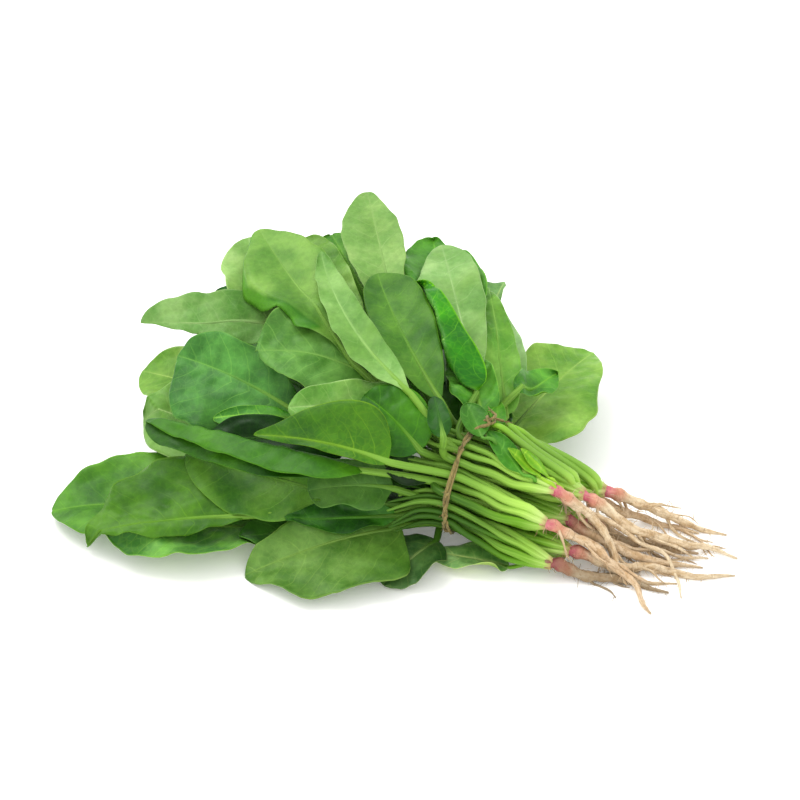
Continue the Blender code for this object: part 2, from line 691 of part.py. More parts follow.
def main():
    for old in list(bpy.data.objects):
        bpy.data.objects.remove(old, do_unlink=True)
    slots = tie_slots()
    plant = shared_out(slots)
    ends = crown_ends(slots, plant)
    centres, radii = lay_rods(slots, plant, ends)
    shapes = {}
    for name, sections in lay_leaves(slots, plant, ends, centres, radii).items():
        shapes[name] = (sections.reshape(-1, 3), loft_faces(len(sections)), "leaf")
    sections = tucked_leaf()
    shapes[TUCKED_LEAF[0]] = (sections.reshape(-1, 3), loft_faces(len(sections)), "leaf")
    for index, (name, (first, _, _), (last, _)) in enumerate(PLANTS):
        rod = len(slots) + index
        sections = root_sections(centres[rod], radii[rod], first, last)
        shapes[name] = (sections.reshape(-1, 3), loft_faces(len(sections)), "root")
    points, faces = tie_ring()
    shapes["tie"] = (points, faces, "tie")
    corners = np.concatenate([points for points, _, _ in shapes.values()])
    low, high = corners.min(axis=0), corners.max(axis=0)
    shift = -np.array([(low[0] + high[0]) / 2, (low[1] + high[1]) / 2, low[2]])
    looks = {
        "leaf": ((0.10, 0.26, 0.06), 0.45),
        "root": ((0.68, 0.50, 0.30), 0.7),
        "tie": ((0.33, 0.24, 0.13), 0.8),
    }
    for name, (points, faces, kind) in shapes.items():
        build_object(name, points, faces, material(f"{name}_{kind}", *looks[kind]), shift)
    print("bunch", (high - low).round(1), "shift", shift.round(2))


main()
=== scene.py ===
"""The looks of a tied bunch of spinach: veined leaves, ribbed stalks, pink crowns, forked roots and a tie.

Lengths are in millimetres and angles in degrees until a mesh is made. The origin is then the floor point
under the middle of the tie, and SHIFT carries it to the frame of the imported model.
"""

import math
from collections import namedtuple

import bpy
import numpy as np
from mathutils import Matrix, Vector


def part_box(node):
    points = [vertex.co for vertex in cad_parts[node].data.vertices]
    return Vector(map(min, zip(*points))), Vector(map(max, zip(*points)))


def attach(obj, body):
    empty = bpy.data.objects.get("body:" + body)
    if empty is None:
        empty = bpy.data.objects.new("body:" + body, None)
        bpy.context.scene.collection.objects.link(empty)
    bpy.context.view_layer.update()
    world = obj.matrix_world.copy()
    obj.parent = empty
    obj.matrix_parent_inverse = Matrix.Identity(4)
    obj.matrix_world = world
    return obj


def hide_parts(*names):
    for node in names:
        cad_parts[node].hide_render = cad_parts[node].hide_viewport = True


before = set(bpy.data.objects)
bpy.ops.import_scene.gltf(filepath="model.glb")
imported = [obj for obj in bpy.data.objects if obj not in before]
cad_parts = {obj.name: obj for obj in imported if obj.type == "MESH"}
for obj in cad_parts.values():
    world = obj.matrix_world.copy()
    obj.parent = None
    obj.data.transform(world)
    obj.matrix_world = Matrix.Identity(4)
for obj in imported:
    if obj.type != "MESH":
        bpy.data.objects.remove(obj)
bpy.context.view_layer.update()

METRES = 0.001

# Where the random draws of each kind of part start
SEEDS = {
    "tones": 5, "young_slots": 11, "leaves": 100, "tucked_leaf": 950, "stalks": 1500, "young_stalks": 1700,
    "young_leaves": 1800, "inner_leaves": 1900, "roots": 700,
    "strands": 31, "knot": 41, "frays": 51, "fibres": 61, "tie": 77,
}

# The bundle, as the solids have it. Planes cross it at even steps, from the tie towards the root tips.
ROOT_WAY_ANGLE = -22.0
TIE_HEIGHT = 32.0
TIE_HALF_WIDTH = 33.0
TIE_HALF_HEIGHT = 28.0
TIE_MIDDLE = np.array([0.0, TIE_HEIGHT])
TIE_CORD = 1.7
STALK_RADIUS = 3.6
STALK_EXIT = 8.0
CLEARANCE = 0.35
ROW_PITCH = 7.4
SLOT_PITCH = 8.2
PLANE_STEP = 6.0
LAST_PLANE = 27
ROOT_RADIUS = 3.6
ROOT_TIP_RADIUS = 0.7
MOST_LEAVES_PER_PLANT = 5
YOUNG_STALKS = 64
MOST_YOUNG_PER_PLANT = 8

# How its rods are pushed apart and evened out: in how many rounds, and how far in each
SLOT_ROUNDS = 200
YOUNG_SLOT_ROUNDS = 300
YOUNG_SLOT_STEP = 0.8
LISTED_SLOT_FREEDOM = 0.25
ROD_ROUNDS = 160
ROD_STEP = 0.7
EVEN_ROUNDS = 130
EVEN_STEP = 0.25

# Settling: each leaf is lifted clear of a grid of cells that leans back with the bunch
SETTLE_LEAN = 20.0
SETTLE_CELL = 1.5
SETTLE_SPAN = 640.0
SETTLE_ROUNDS = 6
SETTLE_GAP = 0.45
SETTLED_LIFT = 0.05
MEMBRANE_ROUNDS = 90
LAYERS_TO_FULL_LEAN = 3

# The room that the stalks leave on the floor for the tucked leaf, and its own short stalk
TUCKED_ROOM_PLANES = 7
TUCKED_ROOM_ACROSS = (-46.0, -14.0)
TUCKED_ROOM_HEIGHT = 8.0
TUCKED_LEAF_CROWN = 5
TUCKED_STALK_LENGTH = 9.0
TUCKED_STALK_DROP = 3.0
TUCKED_STALK_THINNESS = 0.55

# How fast each outline widens from its base and closes to its tip
OUTLINES = {
    "oval": (0.55, 0.62),
    "lance": (0.75, 0.80),
    "round": (0.50, 0.50),
    "spade": (0.38, 0.78),
}

# One row of leaves for each layer of stalks in the tie, lowest first and back to front in a layer.
# name, outline, base (heading, reach, height), tip (heading, reach, height), half widths (left, right),
# arch, roll, curl of the left and right edges.
LEAF_ROWS = [
    [
        ("leaf_right_floor", "round", (64, 56, 24), (60, 158, 22), (28, 38), 8, 0, 15, 0),
        ("leaf_back_low_middle", "oval", (112, 90, 20), (112, 185, 12), (36, 36), 14, 0, 10, 10),
        ("leaf_left_floor", "oval", (176, 134, 10), (178, 222, 5), (34, 34), 6, 0, 10, 20),
        ("leaf_left_under", "oval", (185, 104, 8), (185, 191, 3), (30, 28), 6, 0, 15, 15),
        ("leaf_front_tucked", "oval", (233, 26, 8), (229, 66, 2), (18, 18), 4, 0, 10, 10),
    ],
    [
        ("leaf_right_back", "spade", (86, 76, 58), (80, 149, 64), (16, 5), 8, 0, 10, 20),
        ("leaf_back_low_right", "oval", (95, 80, 30), (92, 160, 24), (30, 26), 14, 0, 10, 10),
        ("leaf_back_low_left", "oval", (138, 110, 34), (140, 185, 28), (30, 30), 12, 0, 10, 10),
        ("leaf_front_small", "oval", (186, 72, 12), (190, 120, 3), (16, 16), 6, 0, 10, 10),
        ("leaf_left_crinkled", "spade", (190, 117, 24), (186, 200, 3), (12, 30), 12, 10, 0, 15),
        ("leaf_front_floor", "spade", (207, 38, 14), (200, 122, 2), (36, 24), 8, 5, 10, 10),
    ],
    [
        ("leaf_right_thin", "oval", (66, 60, 40), (82, 125, 50), (16, 15), 8, 0, 20, 20),
        ("leaf_back_dark", "oval", (118, 90, 66), (115, 176, 88), (28, 28), 8, 0, 10, 10),
        ("leaf_back_left_small", "oval", (135, 128, 62), (141, 178, 78), (18, 18), 6, 0, 10, 10),
        ("leaf_left_pale", "oval", (155, 128, 36), (153, 202, 39), (26, 28), 8, 5, 10, 10),
        ("leaf_left_pale_low", "oval", (163, 114, 32), (161, 187, 27), (28, 26), 8, 10, 10, 10),
        ("leaf_left_wide", "oval", (187, 72, 28), (174, 149, 28), (28, 26), 10, 15, 10, 15),
        ("leaf_front_narrow", "lance", (203, 40, 20), (192, 96, 13), (9, 9), 5, 10, 30, 30),
    ],
    [
        ("leaf_right_crinkled", "lance", (60, 45, 46), (83, 132, 64), (18, 17), 10, 0, 20, 20),
        ("leaf_back_broad", "round", (96, 78, 62), (95, 174, 76), (21, 28), 8, 0, 10, 10),
        ("leaf_back_torn", "round", (143, 134, 70), (129, 193, 92), (24, 24), 6, 0, 10, 10),
        ("leaf_left_long", "lance", (135, 127, 60), (153, 200, 72), (14, 19), 8, 5, 5, 10),
        ("leaf_left_dark", "round", (159, 95, 50), (155, 173, 62), (36, 20), 8, 20, 0, 5),
        ("leaf_left_dark_low", "oval", (161, 94, 46), (166, 139, 48), (9, 6), 6, 5, 10, 10),
        ("leaf_front_lobed", "round", (205, 42, 40), (192, 84, 38), (16, 14), 6, 15, 20, 10),
    ],
    [
        ("leaf_right_fold", "lance", (62, 60, 40), (57, 98, 44), (10, 9), 5, 0, 30, 30),
        ("leaf_back_tall", "oval", (117, 78, 76), (106, 196, 100), (20, 14), 8, 0, 10, 10),
        ("leaf_back_yellow", "round", (136, 84, 70), (122, 174, 92), (18, 17), 8, 0, 10, 10),
        ("leaf_centre_veined", "round", (136, 57, 64), (154, 123, 78), (24, 28), 8, 0, 5, 10),
        ("leaf_left_inner", "oval", (170, 66, 40), (170, 146, 36), (16, 12), 8, 5, 10, 10),
        ("leaf_left_rolled", "oval", (199, 56, 52), (171, 172, 50), (16, 25), 8, 15, 0, 0),
        ("leaf_inner_sheath", "oval", (205, 20, 40), (196, 44, 38), (8, 8), 2, 10, 10, 10),
    ],
    [
        ("leaf_top_ribbed", "oval", (122, 26, 68), (113, 121, 91), (15, 20), 8, 0, 10, 10),
        ("leaf_top_left", "oval", (141, 79, 74), (129, 182, 102), (38, 24), 8, 0, 0, 10),
        ("leaf_centre_band", "oval", (147, 30, 62), (171, 94, 68), (14, 17), 6, 5, 10, 10),
        ("leaf_centre_crinkled", "oval", (200, 26, 58), (162, 56, 74), (20, 18), 6, 10, 20, 20),
        ("leaf_centre_pointed", "lance", (208, 46, 60), (182, 110, 64), (5, 26), 8, 10, 10, 10),
    ],
    [
        ("leaf_inner_small", "oval", (62, 19, 59), (90, 66, 70), (14, 13), 4, 0, 20, 20),
        ("leaf_top_folded", "oval", (80, 34, 62), (94, 155, 84), (34, 22), 10, 0, 0, 10),
        ("leaf_top_long", "lance", (152, 34, 74), (124, 140, 100), (12, 12), 10, 0, 10, 10),
        ("leaf_inner_curled", "oval", (226, 18, 69), (141, 22, 76), (6, 5), 3, 0, 30, 30),
    ],
]

# A young leaf under the front stalks: its base and tip are (along the bundle, across it, height).
TUCKED_LEAF = ("leaf_under_stalks", "oval", (34, -27, 4), (-8, -31, 4), (11, 11), 2, 0, 10, 10)

# name, crown (plane, across the bundle, height), root tip (plane, across the bundle)
PLANTS = [
    ("root_top", (8, -4, 43), (20, -16)),
    ("root_right", (10, 9, 34), (24, 28)),
    ("root_far_right", (11, 30, 23), (22, 47)),
    ("root_front", (8, -17, 30), (20, -38)),
    ("root_low_front", (10, -12, 12), (22, -14)),
    ("root_bottom", (9, -23, 10), (20, -24)),
    ("root_middle", (9, 5, 19), (24, 11)),
    ("root_low_back", (10, 18, 9), (21, 20)),
    ("root_back", (8, 33, 20), (19, 38)),
]

# The line of each root from its crown, then of its side roots: (along the bundle, across it, height)
ROOT_LINES = {
    "root_top": (
        ((48, -4, 43), (54, 0, 37), (67, 3, 26), (79, -1, 16), (88, -9, 7), (95, -15, 2)),
        ((57, 0, 33), (65, 3, 27), (76, 7, 20), (93, 12, 11), (110, 8, 5), (123, -14, 1)),
    ),
    "root_right": (
        ((60, 9, 34), (66, 12, 29), (81, 14, 19), (97, 17, 11), (122, 26, 4), (142, 28, 1)),
        ((72, 13, 24), (84, 15, 16), (104, 19, 7), (122, 20, 1)),
    ),
    "root_far_right": (
        ((66, 30, 23), (76, 35, 17), (92, 40, 11), (112, 43, 4), (132, 45, 1)),
        ((78, 36, 16), (88, 40, 14), (97, 46, 10)),
    ),
    "root_front": (
        ((48, -17, 30), (56, -12, 25), (77, -9, 13), (92, -14, 6), (112, -31, 1)),
        ((72, -9, 15), (85, -7, 9), (98, -9, 4), (110, -6, 1)),
    ),
    "root_low_front": (
        ((60, -12, 12), (68, -9, 10), (88, -5, 5), (114, 3, 2), (144, 14, 1)),
        ((70, -9, 9), (84, -12, 5), (100, -8, 2), (118, -4, 1)),
    ),
    "root_bottom": (
        ((54, -23, 10), (61, -20, 8), (76, -16, 4), (96, -13, 2), (116, -12, 1)),
    ),
    "root_middle": (
        ((54, 5, 19), (68, 2, 15), (85, 2, 10), (106, 6, 4), (127, 14, 1)),
        ((72, 2, 14), (88, 8, 9), (108, 14, 4), (128, 22, 1)),
    ),
    "root_low_back": (
        ((60, 18, 9), (72, 17, 8), (88, 17, 5), (104, 21, 3), (122, 24, 1)),
    ),
    "root_back": (
        ((48, 33, 20), (66, 34, 12), (86, 37, 6), (104, 39, 2), (118, 41, 1)),
    ),
}

# How far painted shade darkens the roots that lie lowest, under the bundle
ROOT_PAINTED_SHADES = {"root_bottom": 0.6, "root_low_front": 0.12, "root_middle": 0.15, "root_low_back": 0.3}

# Young leaves over the stalks and behind the tie: base and tip (along, across, height), half width, cast
# (colour with painted light and shade).
# Those whose half width is YOUNG_STEM are bare stems of that radius.
YOUNG_STEM = 2.2
YOUNG_LEAVES = [
    ((32, -7, 50), (8, 9, 60), 6.5, (0.75, 0.95, 1.3)),
    ((42, -4, 46), (22, 1, 58), 4.5, (2.2, 1.6, 1.4)),
    ((45, 0, 44), (28, 4, 56), 4.0, (2.2, 1.6, 1.4)),
    ((7, 3, 60), (-8, 20, 66), 8.0, (0.7, 0.8, 1.45)),
    ((12, 13, 58), (4, 36, 60), 5.0, (0.9, 1.0, 0.7)),
    ((50, 15, 38), (8, 25, 52), YOUNG_STEM, (1.5, 1.27, 1.35)),
    ((49, 10, 40), (5, 16, 57), YOUNG_STEM, (1.35, 1.2, 1.15)),
    ((57, 28, 28), (12, 26, 52), YOUNG_STEM, (1.75, 1.4, 1.7)),
    ((58, 32, 26), (15, 33, 45), YOUNG_STEM, (1.75, 1.4, 1.7)),
]

# Inner leaves seen between the stalks beyond the tie: base and tip (along, across, height), half width
INNER_LEAVES = [
    ((-10, -8, 34), (-62, -18, 30), 15),
    ((-10, 0, 20), (-66, -14, 12), 17),
    ((-8, 10, 46), (-34, 52, 52), 17),
    ((-6, 16, 36), (-8, 66, 40), 17),
]

# (painted shade where a blade bends down out of the light, painted light where it turns up into it)
# A cast is colour and painted light: above 1 it lifts leaves in shade, far below 1 it paints the shade of
# hollows.
# How each leaf looks. Anything left out is as in PLAIN_LEAF.
# tint: the colours of its face and its other side; cast: what its red, green and blue are multiplied by
# bow: how far its midrib bends to its left; wave: how wavy its edge is; crinkle: how uneven its face is
# left, right: how far each edge is from the midrib at WIDTH_PLACES along the blade
# fold: (side, where it lies across the blade at its start and stop, how soft it is, angle, start, stop)
# flap: a further cast on what lies beyond the fold, partly colour and partly painted light and shade
# hole: (place along, place across from -1 to 1, size)
PLAIN_LEAF = dict(
    tint="mid", cast=(1.0, 1.0, 1.0), flap_cast_and_light=(1.0, 1.0, 1.0), bow=0.0, wave=1.6, crinkle=1.0, left=None,
    right=None, fold=None, hole=None,
)
LEAF_LOOKS = {
    "leaf_back_tall": dict(
        tint="pale", cast=(1.2, 0.89, 1.36), wave=0.5, crinkle=0.4, left=(4, 9, 16, 21, 19, 11),
        right=(2, 5, 10, 14, 12.5, 7),
    ),
    "leaf_back_dark": dict(cast=(1.8, 1.6, 1.35)),
    "leaf_back_torn": dict(
        tint="pale", cast=(1.95, 1.3, 2.8), crinkle=0.6, left=(6, 12, 17, 19, 17, 10),
        right=(5, 12, 18, 22, 21, 16),
    ),
    "leaf_back_yellow": dict(
        tint="fresh", cast=(1.22, 0.96, 1.6), crinkle=1.2, left=(6, 12, 17, 18, 18, 13),
        right=(6, 12, 17, 17, 17, 13),
    ),
    "leaf_back_broad": dict(
        cast=(1.8, 1.7, 1.8), wave=2.0, left=(6, 12, 18, 21, 20, 14), right=(8, 16, 25, 26, 19, 8),
    ),
    "leaf_right_back": dict(
        tint="deep", cast=(5.0, 2.3, 4.4), wave=1.0, left=(5, 10, 14, 17, 15, 9), right=(1, 3, 4, 4, 3, 2),
    ),
    "leaf_top_left": dict(
        tint="pale", cast=(0.88, 0.77, 0.72), flap_cast_and_light=(0.45, 0.75, 0.25), bow=6.0, wave=0.6, crinkle=0.5,
        left=(2, 5, 23, 35, 26, 11), right=(6, 14, 21, 24, 20, 12),
        fold=("left", (0.27, 0.86), 0.1, -72, 0.2, 0.97),
    ),
    "leaf_top_long": dict(
        tint="pale", cast=(1.15, 0.94, 1.45), bow=18.0, wave=0.8, crinkle=0.5, left=(3, 9, 12, 10, 8, 5),
        right=(3, 8, 10, 10, 8, 5),
    ),
    "leaf_top_ribbed": dict(
        tint="dull", cast=(0.89, 0.98, 0.55), bow=8.0, wave=0.8, crinkle=0.6, left=(4, 9, 13, 14, 13, 9),
        right=(4, 10, 17, 20, 19, 15),
    ),
    "leaf_top_folded": dict(
        tint="pale", cast=(1.5, 1.08, 2.2), flap_cast_and_light=(0.72, 1.3, 0.06), wave=0.8, crinkle=0.5,
        left=(24, 33, 28.5, 27, 17, 10), right=(2, 7, 13, 16, 16, 12),
        fold=("left", (0.1, 0.72), 0.18, 165, -0.2, 0.7),
    ),
    "leaf_right_crinkled": dict(
        tint="fresh", cast=(1.05, 1.0, 1.05), crinkle=2.0, left=(7.5, 9, 10, 11, 9, 5),
        right=(6, 10, 10.8, 10, 7, 3.5),
    ),
    "leaf_right_thin": dict(
        tint="pale", cast=(1.8, 1.27, 3.1), left=(4, 10, 14, 15, 13, 8), right=(4, 9, 13, 15, 13, 8),
    ),
    "leaf_right_floor": dict(
        tint="fresh", cast=(1.55, 1.17, 1.6), wave=0.8, left=(10, 20, 26, 27, 26, 14),
        right=(22, 34, 35, 26, 19, 10),
    ),
    "leaf_right_fold": dict(tint="deep", cast=(2.5, 1.9, 1.0)),
    "leaf_left_long": dict(
        tint="fresh", cast=(1.12, 0.87, 1.95), left=(6, 14, 12, 8, 5, 3), right=(6, 15, 18, 19, 17, 12),
    ),
    "leaf_back_left_small": dict(tint="deep"),
    "leaf_left_dark": dict(
        tint="deep", cast=(1.7, 1.37, 1.15), crinkle=1.2, left=(8, 20, 33, 36, 34, 24),
        right=(6, 12, 19, 20, 20, 15),
    ),
    "leaf_left_dark_low": dict(tint="deep", cast=(3.8, 2.65, 1.6)),
    "leaf_left_pale": dict(tint="fresh", cast=(1.62, 1.18, 1.8)),
    "leaf_left_pale_low": dict(tint="fresh", cast=(1.46, 1.1, 2.4)),
    "leaf_centre_veined": dict(
        cast=(1.5, 1.2, 1.9), bow=-10.0, crinkle=1.2, left=(5, 12, 18, 23, 21, 12),
        right=(8, 20, 26, 28, 27, 22),
    ),
    "leaf_centre_band": dict(
        tint="fresh", cast=(1.95, 1.36, 3.6), left=(5, 12, 14, 14, 12, 9), right=(5, 12, 16, 15, 12, 9),
    ),
    "leaf_centre_pointed": dict(
        tint="bright", cast=(0.93, 0.83, 0.25), wave=0.6, crinkle=0.6, left=(3, 5, 5, 4, 3, 2),
        right=(12, 23, 26, 20, 11.5, 4.5),
    ),
    "leaf_centre_crinkled": dict(cast=(0.72, 0.92, 0.09), crinkle=1.8),
    "leaf_left_rolled": dict(
        cast=(0.42, 0.56, 0.08), flap_cast_and_light=(1.5, 1.35, 1.7), bow=20.0, wave=0.8, left=(3, 7, 11, 11, 10, 9),
        right=(8, 19, 22, 20, 17, 12), fold=("right", (0.02, 0.38), 0.25, 158, -0.2, 1.3),
    ),
    "leaf_left_wide": dict(tint="dull", cast=(0.92, 0.96, 0.64), crinkle=0.6),
    "leaf_left_crinkled": dict(
        cast=(0.93, 0.86, 0.26), crinkle=1.6, left=(3, 6, 9, 9, 6, 2), right=(14, 27, 35, 37, 29, 15),
    ),
    "leaf_left_floor": dict(cast=(1.32, 1.22, 0.76)),
    "leaf_left_under": dict(tint="deep", cast=(3.5, 2.1, 1.65)),
    # This cast paints the shade of the hollow that the leaf lies in
    "leaf_left_inner": dict(tint="deep", cast=(0.35, 0.45, 0.12)),
    "leaf_front_floor": dict(
        cast=(1.7, 1.13, 1.8), crinkle=0.8, left=(27, 36, 35, 36, 31, 15), right=(8, 15, 19, 19, 15, 10),
    ),
    "leaf_front_lobed": dict(
        tint="dull", cast=(0.72, 0.76, 0.82), crinkle=0.6, left=(4, 13, 15, 13, 13, 11),
        right=(4, 11, 13, 14, 14, 12), hole=(0.9, 0.42, 0.05),
    ),
    "leaf_front_narrow": dict(
        tint="deep", cast=(0.86, 0.9, 0.32), left=(3, 6, 7, 8, 6, 3), right=(3, 6, 8, 9, 7, 4),
    ),
    "leaf_front_small": dict(cast=(1.05, 1.05, 1.3)),
    "leaf_front_tucked": dict(tint="deep", cast=(2.85, 1.27, 2.5)),
    # This cast paints light onto a leaf that lies in the stalks' shade
    "leaf_under_stalks": dict(tint="deep", cast=(8.0, 3.2, 6.5)),
    "leaf_inner_curled": dict(
        tint="bright", cast=(0.16, 0.34, 0.03), crinkle=1.6, left=(3, 5, 5.5, 5.5, 4, 2.5),
        right=(2, 4, 5, 5, 4, 2.5),
    ),
    # This cast paints the deep shade by the tie
    "leaf_inner_sheath": dict(cast=(0.14, 0.17, 0.13)),
    "leaf_inner_small": dict(tint="deep", cast=(2.8, 2.0, 1.2), crinkle=2.2),
}

# Blades. A blade's rows run from its base to its tip, closer at the tip, and its columns from right to left.
WIDTH_PLACES = (0.04, 0.15, 0.35, 0.55, 0.75, 0.9)
BASE_WIDTH = 0.6
LEAST_WIDTH = 0.25
BLADE_ROWS = 68
BLADE_COLUMNS = 35
MIDRIB = BLADE_COLUMNS // 2
ROW_CROWDING = 1.5
COLUMN_CROWDING = 1.35
BLADE_THICKNESS = 0.42
EDGE_THINNING = 0.6
BLADE_KEEL = 9.0
FOLD_FADE = 0.14
VEIN_SPACING = 12.5
VEIN_RISE = 0.62
VEIN_BEND = 0.012
YOUNG_LOOK = {"crinkle": 0.5, "wave": 0.8}
YOUNG_BENDS = (2.0, 0.0, 25.0, 25.0)
YOUNG_STALK_BACK = 8
YOUNG_STALK_SINK = 3
INNER_BENDS = (3.0, 0.0, 10.0, 10.0)
# The inner leaves' colour is darkened as painted shade, for the hollow between the stalks
INNER_PAINTED_SHADE = (0.5, 0.6, 0.3)

# Roots
CROWN_DEPTH = 2.5
CROWN_SIZES = (2.5, 3.2, 3.2, 2.9, 2.7, 2.5, 2.35, 2.2, 2.0, 1.8, 1.6, 1.35, 1.0, 0.5)
SIDE_ROOT_SIZES = (1.7, 1.6, 1.4, 1.2, 1.0, 0.8, 0.35)
SIDE_ROOT_START = 30.0
ROOT_SIDES = 16
ROOT_WAVE = 30.0
ROOT_HAIR_SPACING = 2.6
HAIR_SIDES = 4
HAIR_START = 12.0
HAIR_LENGTHS = (2.0, 9.0)
HAIR_SIZES = (0.13, 0.24)
ROOTLETS = 6
ROOTLET_LENGTHS = (14.0, 40.0)
ROOTLET_SIZES = (0.95, 0.85, 0.7, 0.6, 0.45, 0.2)

# Tie
STRAND_RADIUS = 0.85
STRAND_POINTS = 260
CORD_SIDES = 12
TIE_TWISTS = 8
TIE_LOOP_TURN = 3.62
TIE_LOOP_WIDTH = 0.10
TIE_LOOP_GAP = 2.2
FRAYS_PER_END = 7
FRAY_RADIUS = 0.16
FIBRES = 60
FIBRE_RADIUS = 0.10
TIE_KNOT = (
    ((1, 4, 61), (4.5, 8, 62.5), (9, 12, 63), (9.5, 16, 62), (7, 18, 61.5), (5, 15, 62), (7.5, 12, 65)),
    ((1, 7, 61), (8.5, 9, 64), (6.5, 12, 65.5), (6, 16, 64), (9.5, 18, 62), (13.5, 19, 61)),
    ((4, 12, 63), (8.5, 13, 65), (9.5, 17, 65), (7, 19, 65)),
)

# Stalks and ribs
STALK_SIDES = 14
STALK_ROWS = 18
STALK_SHADOW = 0.4
STALK_TIE_RADIUS = 2.1
STALK_CROWN_RADIUS = 2.6
STALK_BLADE_RADIUS = 1.9
STALK_ROOM = 2.35
STALK_BEND = 0.55
STALK_WAVE = 26.0
STALK_GROOVE = 0.10
STALK_PALE_LENGTH = 50.0
# Painted light and shade on the stalks: paler above this mean height, darker below, over this span
STALK_MEAN_HEIGHT = 30.0
STALK_PAINTED_LIGHT_SPAN = 55.0
CROWN_CROWDING = 0.55
CROWN_CROWDING_PLANES = 4.0
FOOT_RING = 2.1
FOOT_LENGTH = 2.0
RIB_ROWS = slice(2, BLADE_ROWS - 4, 2)
RIB_MIDDLE_RADII = (1.35, 0.7)
RIB_TIP_RADIUS = 0.35
RIB_SINK = 0.35
RIB_GROOVE = 0.16
RIB_PALENESS = 0.42

# Young stalks. A tail's rows are: how far it reaches, spreads, drops, and rises with its own height.
YOUNG_STALK_ROOM = 1.85
YOUNG_STALK_RADIUS = 1.65
YOUNG_CROWN_RADIUS = 2.3
YOUNG_FOOT_RING = 0.9
YOUNG_TAILS = ((9.0, 0.15, 0.02, 0.14), (20.0, 0.5, 0.12, 0.62))

# The view and the studio. A lamp is its name, place, size and power. Lamps and floor are in metres.
CAMERA_FOCUS = (-34.7, 24.1, 66.4)
CAMERA_TILT = 35.0
CAMERA_DISTANCE = 1000.0
CAMERA_LENS = 85.5
CAMERA_SENSOR = 36
CAMERA_CLIP = 20
WORLD_STRENGTH = 1.25
LAMPS = [("key", (-0.55, 0.35, 1.15), 0.9, 9.0), ("fill", (0.5, -1.2, 1.0), 1.4, 3.0)]
LAMP_AIM = (0.0, 0.0, 0.04)
FLOOR_REACH = 6.0


def srgb(red, green, blue):
    """A colour given as a screen shows it, in linear light."""
    values = []
    for part in (red, green, blue):
        share = part / 255
        values.append(share / 12.92 if share <= 0.04045 else ((share + 0.055) / 1.055) ** 2.4)
    return (*values, 1.0)


def bundle_axes():
    """The unit vectors along the bundle towards its roots, and across it towards its back."""
    turn = math.radians(ROOT_WAY_ANGLE)
    along = np.array([math.cos(turn), math.sin(turn), 0.0])
    across = np.array([-math.sin(turn), math.cos(turn), 0.0])
    return along, across


ALONG, ACROSS = bundle_axes()
UP = np.array([0.0, 0.0, 1.0])
tie_low, tie_high = (np.array(corner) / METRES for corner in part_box("tie"))
SHIFT = (tie_low + tie_high) / 2 - UP * TIE_HEIGHT


def bundle_point(along, across, height):
    """The point this far along the bundle from its tie, across it, and over the floor."""
    return ALONG * along + ACROSS * across + UP * height


def reach_point(heading, reach, height):
    """The point at this heading and distance from the axis through the tie, at this height."""
    turn = math.radians(heading)
    return np.array([reach * math.cos(turn), reach * math.sin(turn), height])


def unit(vectors):
    """The vectors, each made one long."""
    return vectors / np.maximum(np.linalg.norm(vectors, axis=-1, keepdims=True), 1e-9)


def smooth(value):
    """0 up to 0, 1 from 1 on, and level at both ends."""
    t = np.clip(value, 0.0, 1.0)
    return t * t * (3.0 - 2.0 * t)


def ripple(seed, x, y, scale, count=9):
    """Smooth noise of about unit size, with waves of about this length in random directions."""
    draw = np.random.default_rng(seed)
    total = np.zeros(np.broadcast(x, y).shape)
    for _ in range(count):
        turn = draw.uniform(0, 2 * math.pi)
        length = scale * draw.uniform(0.7, 1.6)
        start = draw.uniform(0, 2 * math.pi)
        total = total + np.sin((x * math.cos(turn) + y * math.sin(turn)) * 2 * math.pi / length + start)
    return total / math.sqrt(count / 2)


def through(points, steps):
    """A smooth curve through the points, with this many steps between each two."""
    points = np.asarray(points, float)
    padded = np.concatenate([[2 * points[0] - points[1]], points, [2 * points[-1] - points[-2]]])
    found = []
    for index in range(len(points) - 1):
        a, b, c, d = padded[index : index + 4]
        square = 2 * a - 5 * b + 4 * c - d
        cube = 3 * b - a - 3 * c + d
        for t in np.linspace(0, 1, steps, endpoint=False):
            found.append(0.5 * (2 * b + (c - a) * t + square * t**2 + cube * t**3))
    found.append(points[-1])
    return np.array(found)

def travelled(path):
    """How far along a path each of its points is."""
    return np.concatenate([[0.0], np.cumsum(np.linalg.norm(np.diff(path, axis=0), axis=1))])


def even_out(values, rounds):
    """Values along a path made smoother, with its ends kept."""
    values = np.array(values, float)
    for _ in range(rounds):
        values[1:-1] = (values[:-2] + 2 * values[1:-1] + values[2:]) / 4
    return values


# The layout of stalks and roots: circles in the planes across the bundle


def pushes(centres, radii, movable, apart):
    """How far each circle moves to clear the others in its plane. centres is (rod, plane, 2)."""
    gap = centres[:, None] - centres[None, :]
    distance = np.linalg.norm(gap, axis=3)
    wanted = radii[:, None] + radii[None, :] + CLEARANCE
    short = np.where(apart, np.clip(wanted - distance, 0.0, None), 0.0)
    short[np.arange(len(centres)), np.arange(len(centres))] = 0.0
    both = movable[:, None] + movable[None, :]
    share = np.where(both > 0, movable[:, None] / np.maximum(both, 1e-9), 0.0)
    way = gap / np.maximum(distance, 1e-6)[..., None]
    return (way * (short * share)[..., None]).sum(axis=1)


def inside_tie(slots, radii):
    """The slots, with those whose stalks would cross the tie moved in until they touch it."""
    room = np.array([TIE_HALF_WIDTH, TIE_HALF_HEIGHT]) - TIE_CORD - radii - CLEARANCE
    outside = np.linalg.norm((slots - TIE_MIDDLE) / room, axis=1)
    return TIE_MIDDLE + (slots - TIE_MIDDLE) * np.minimum(1.0, 1.0 / np.maximum(outside, 1e-9))[:, None]


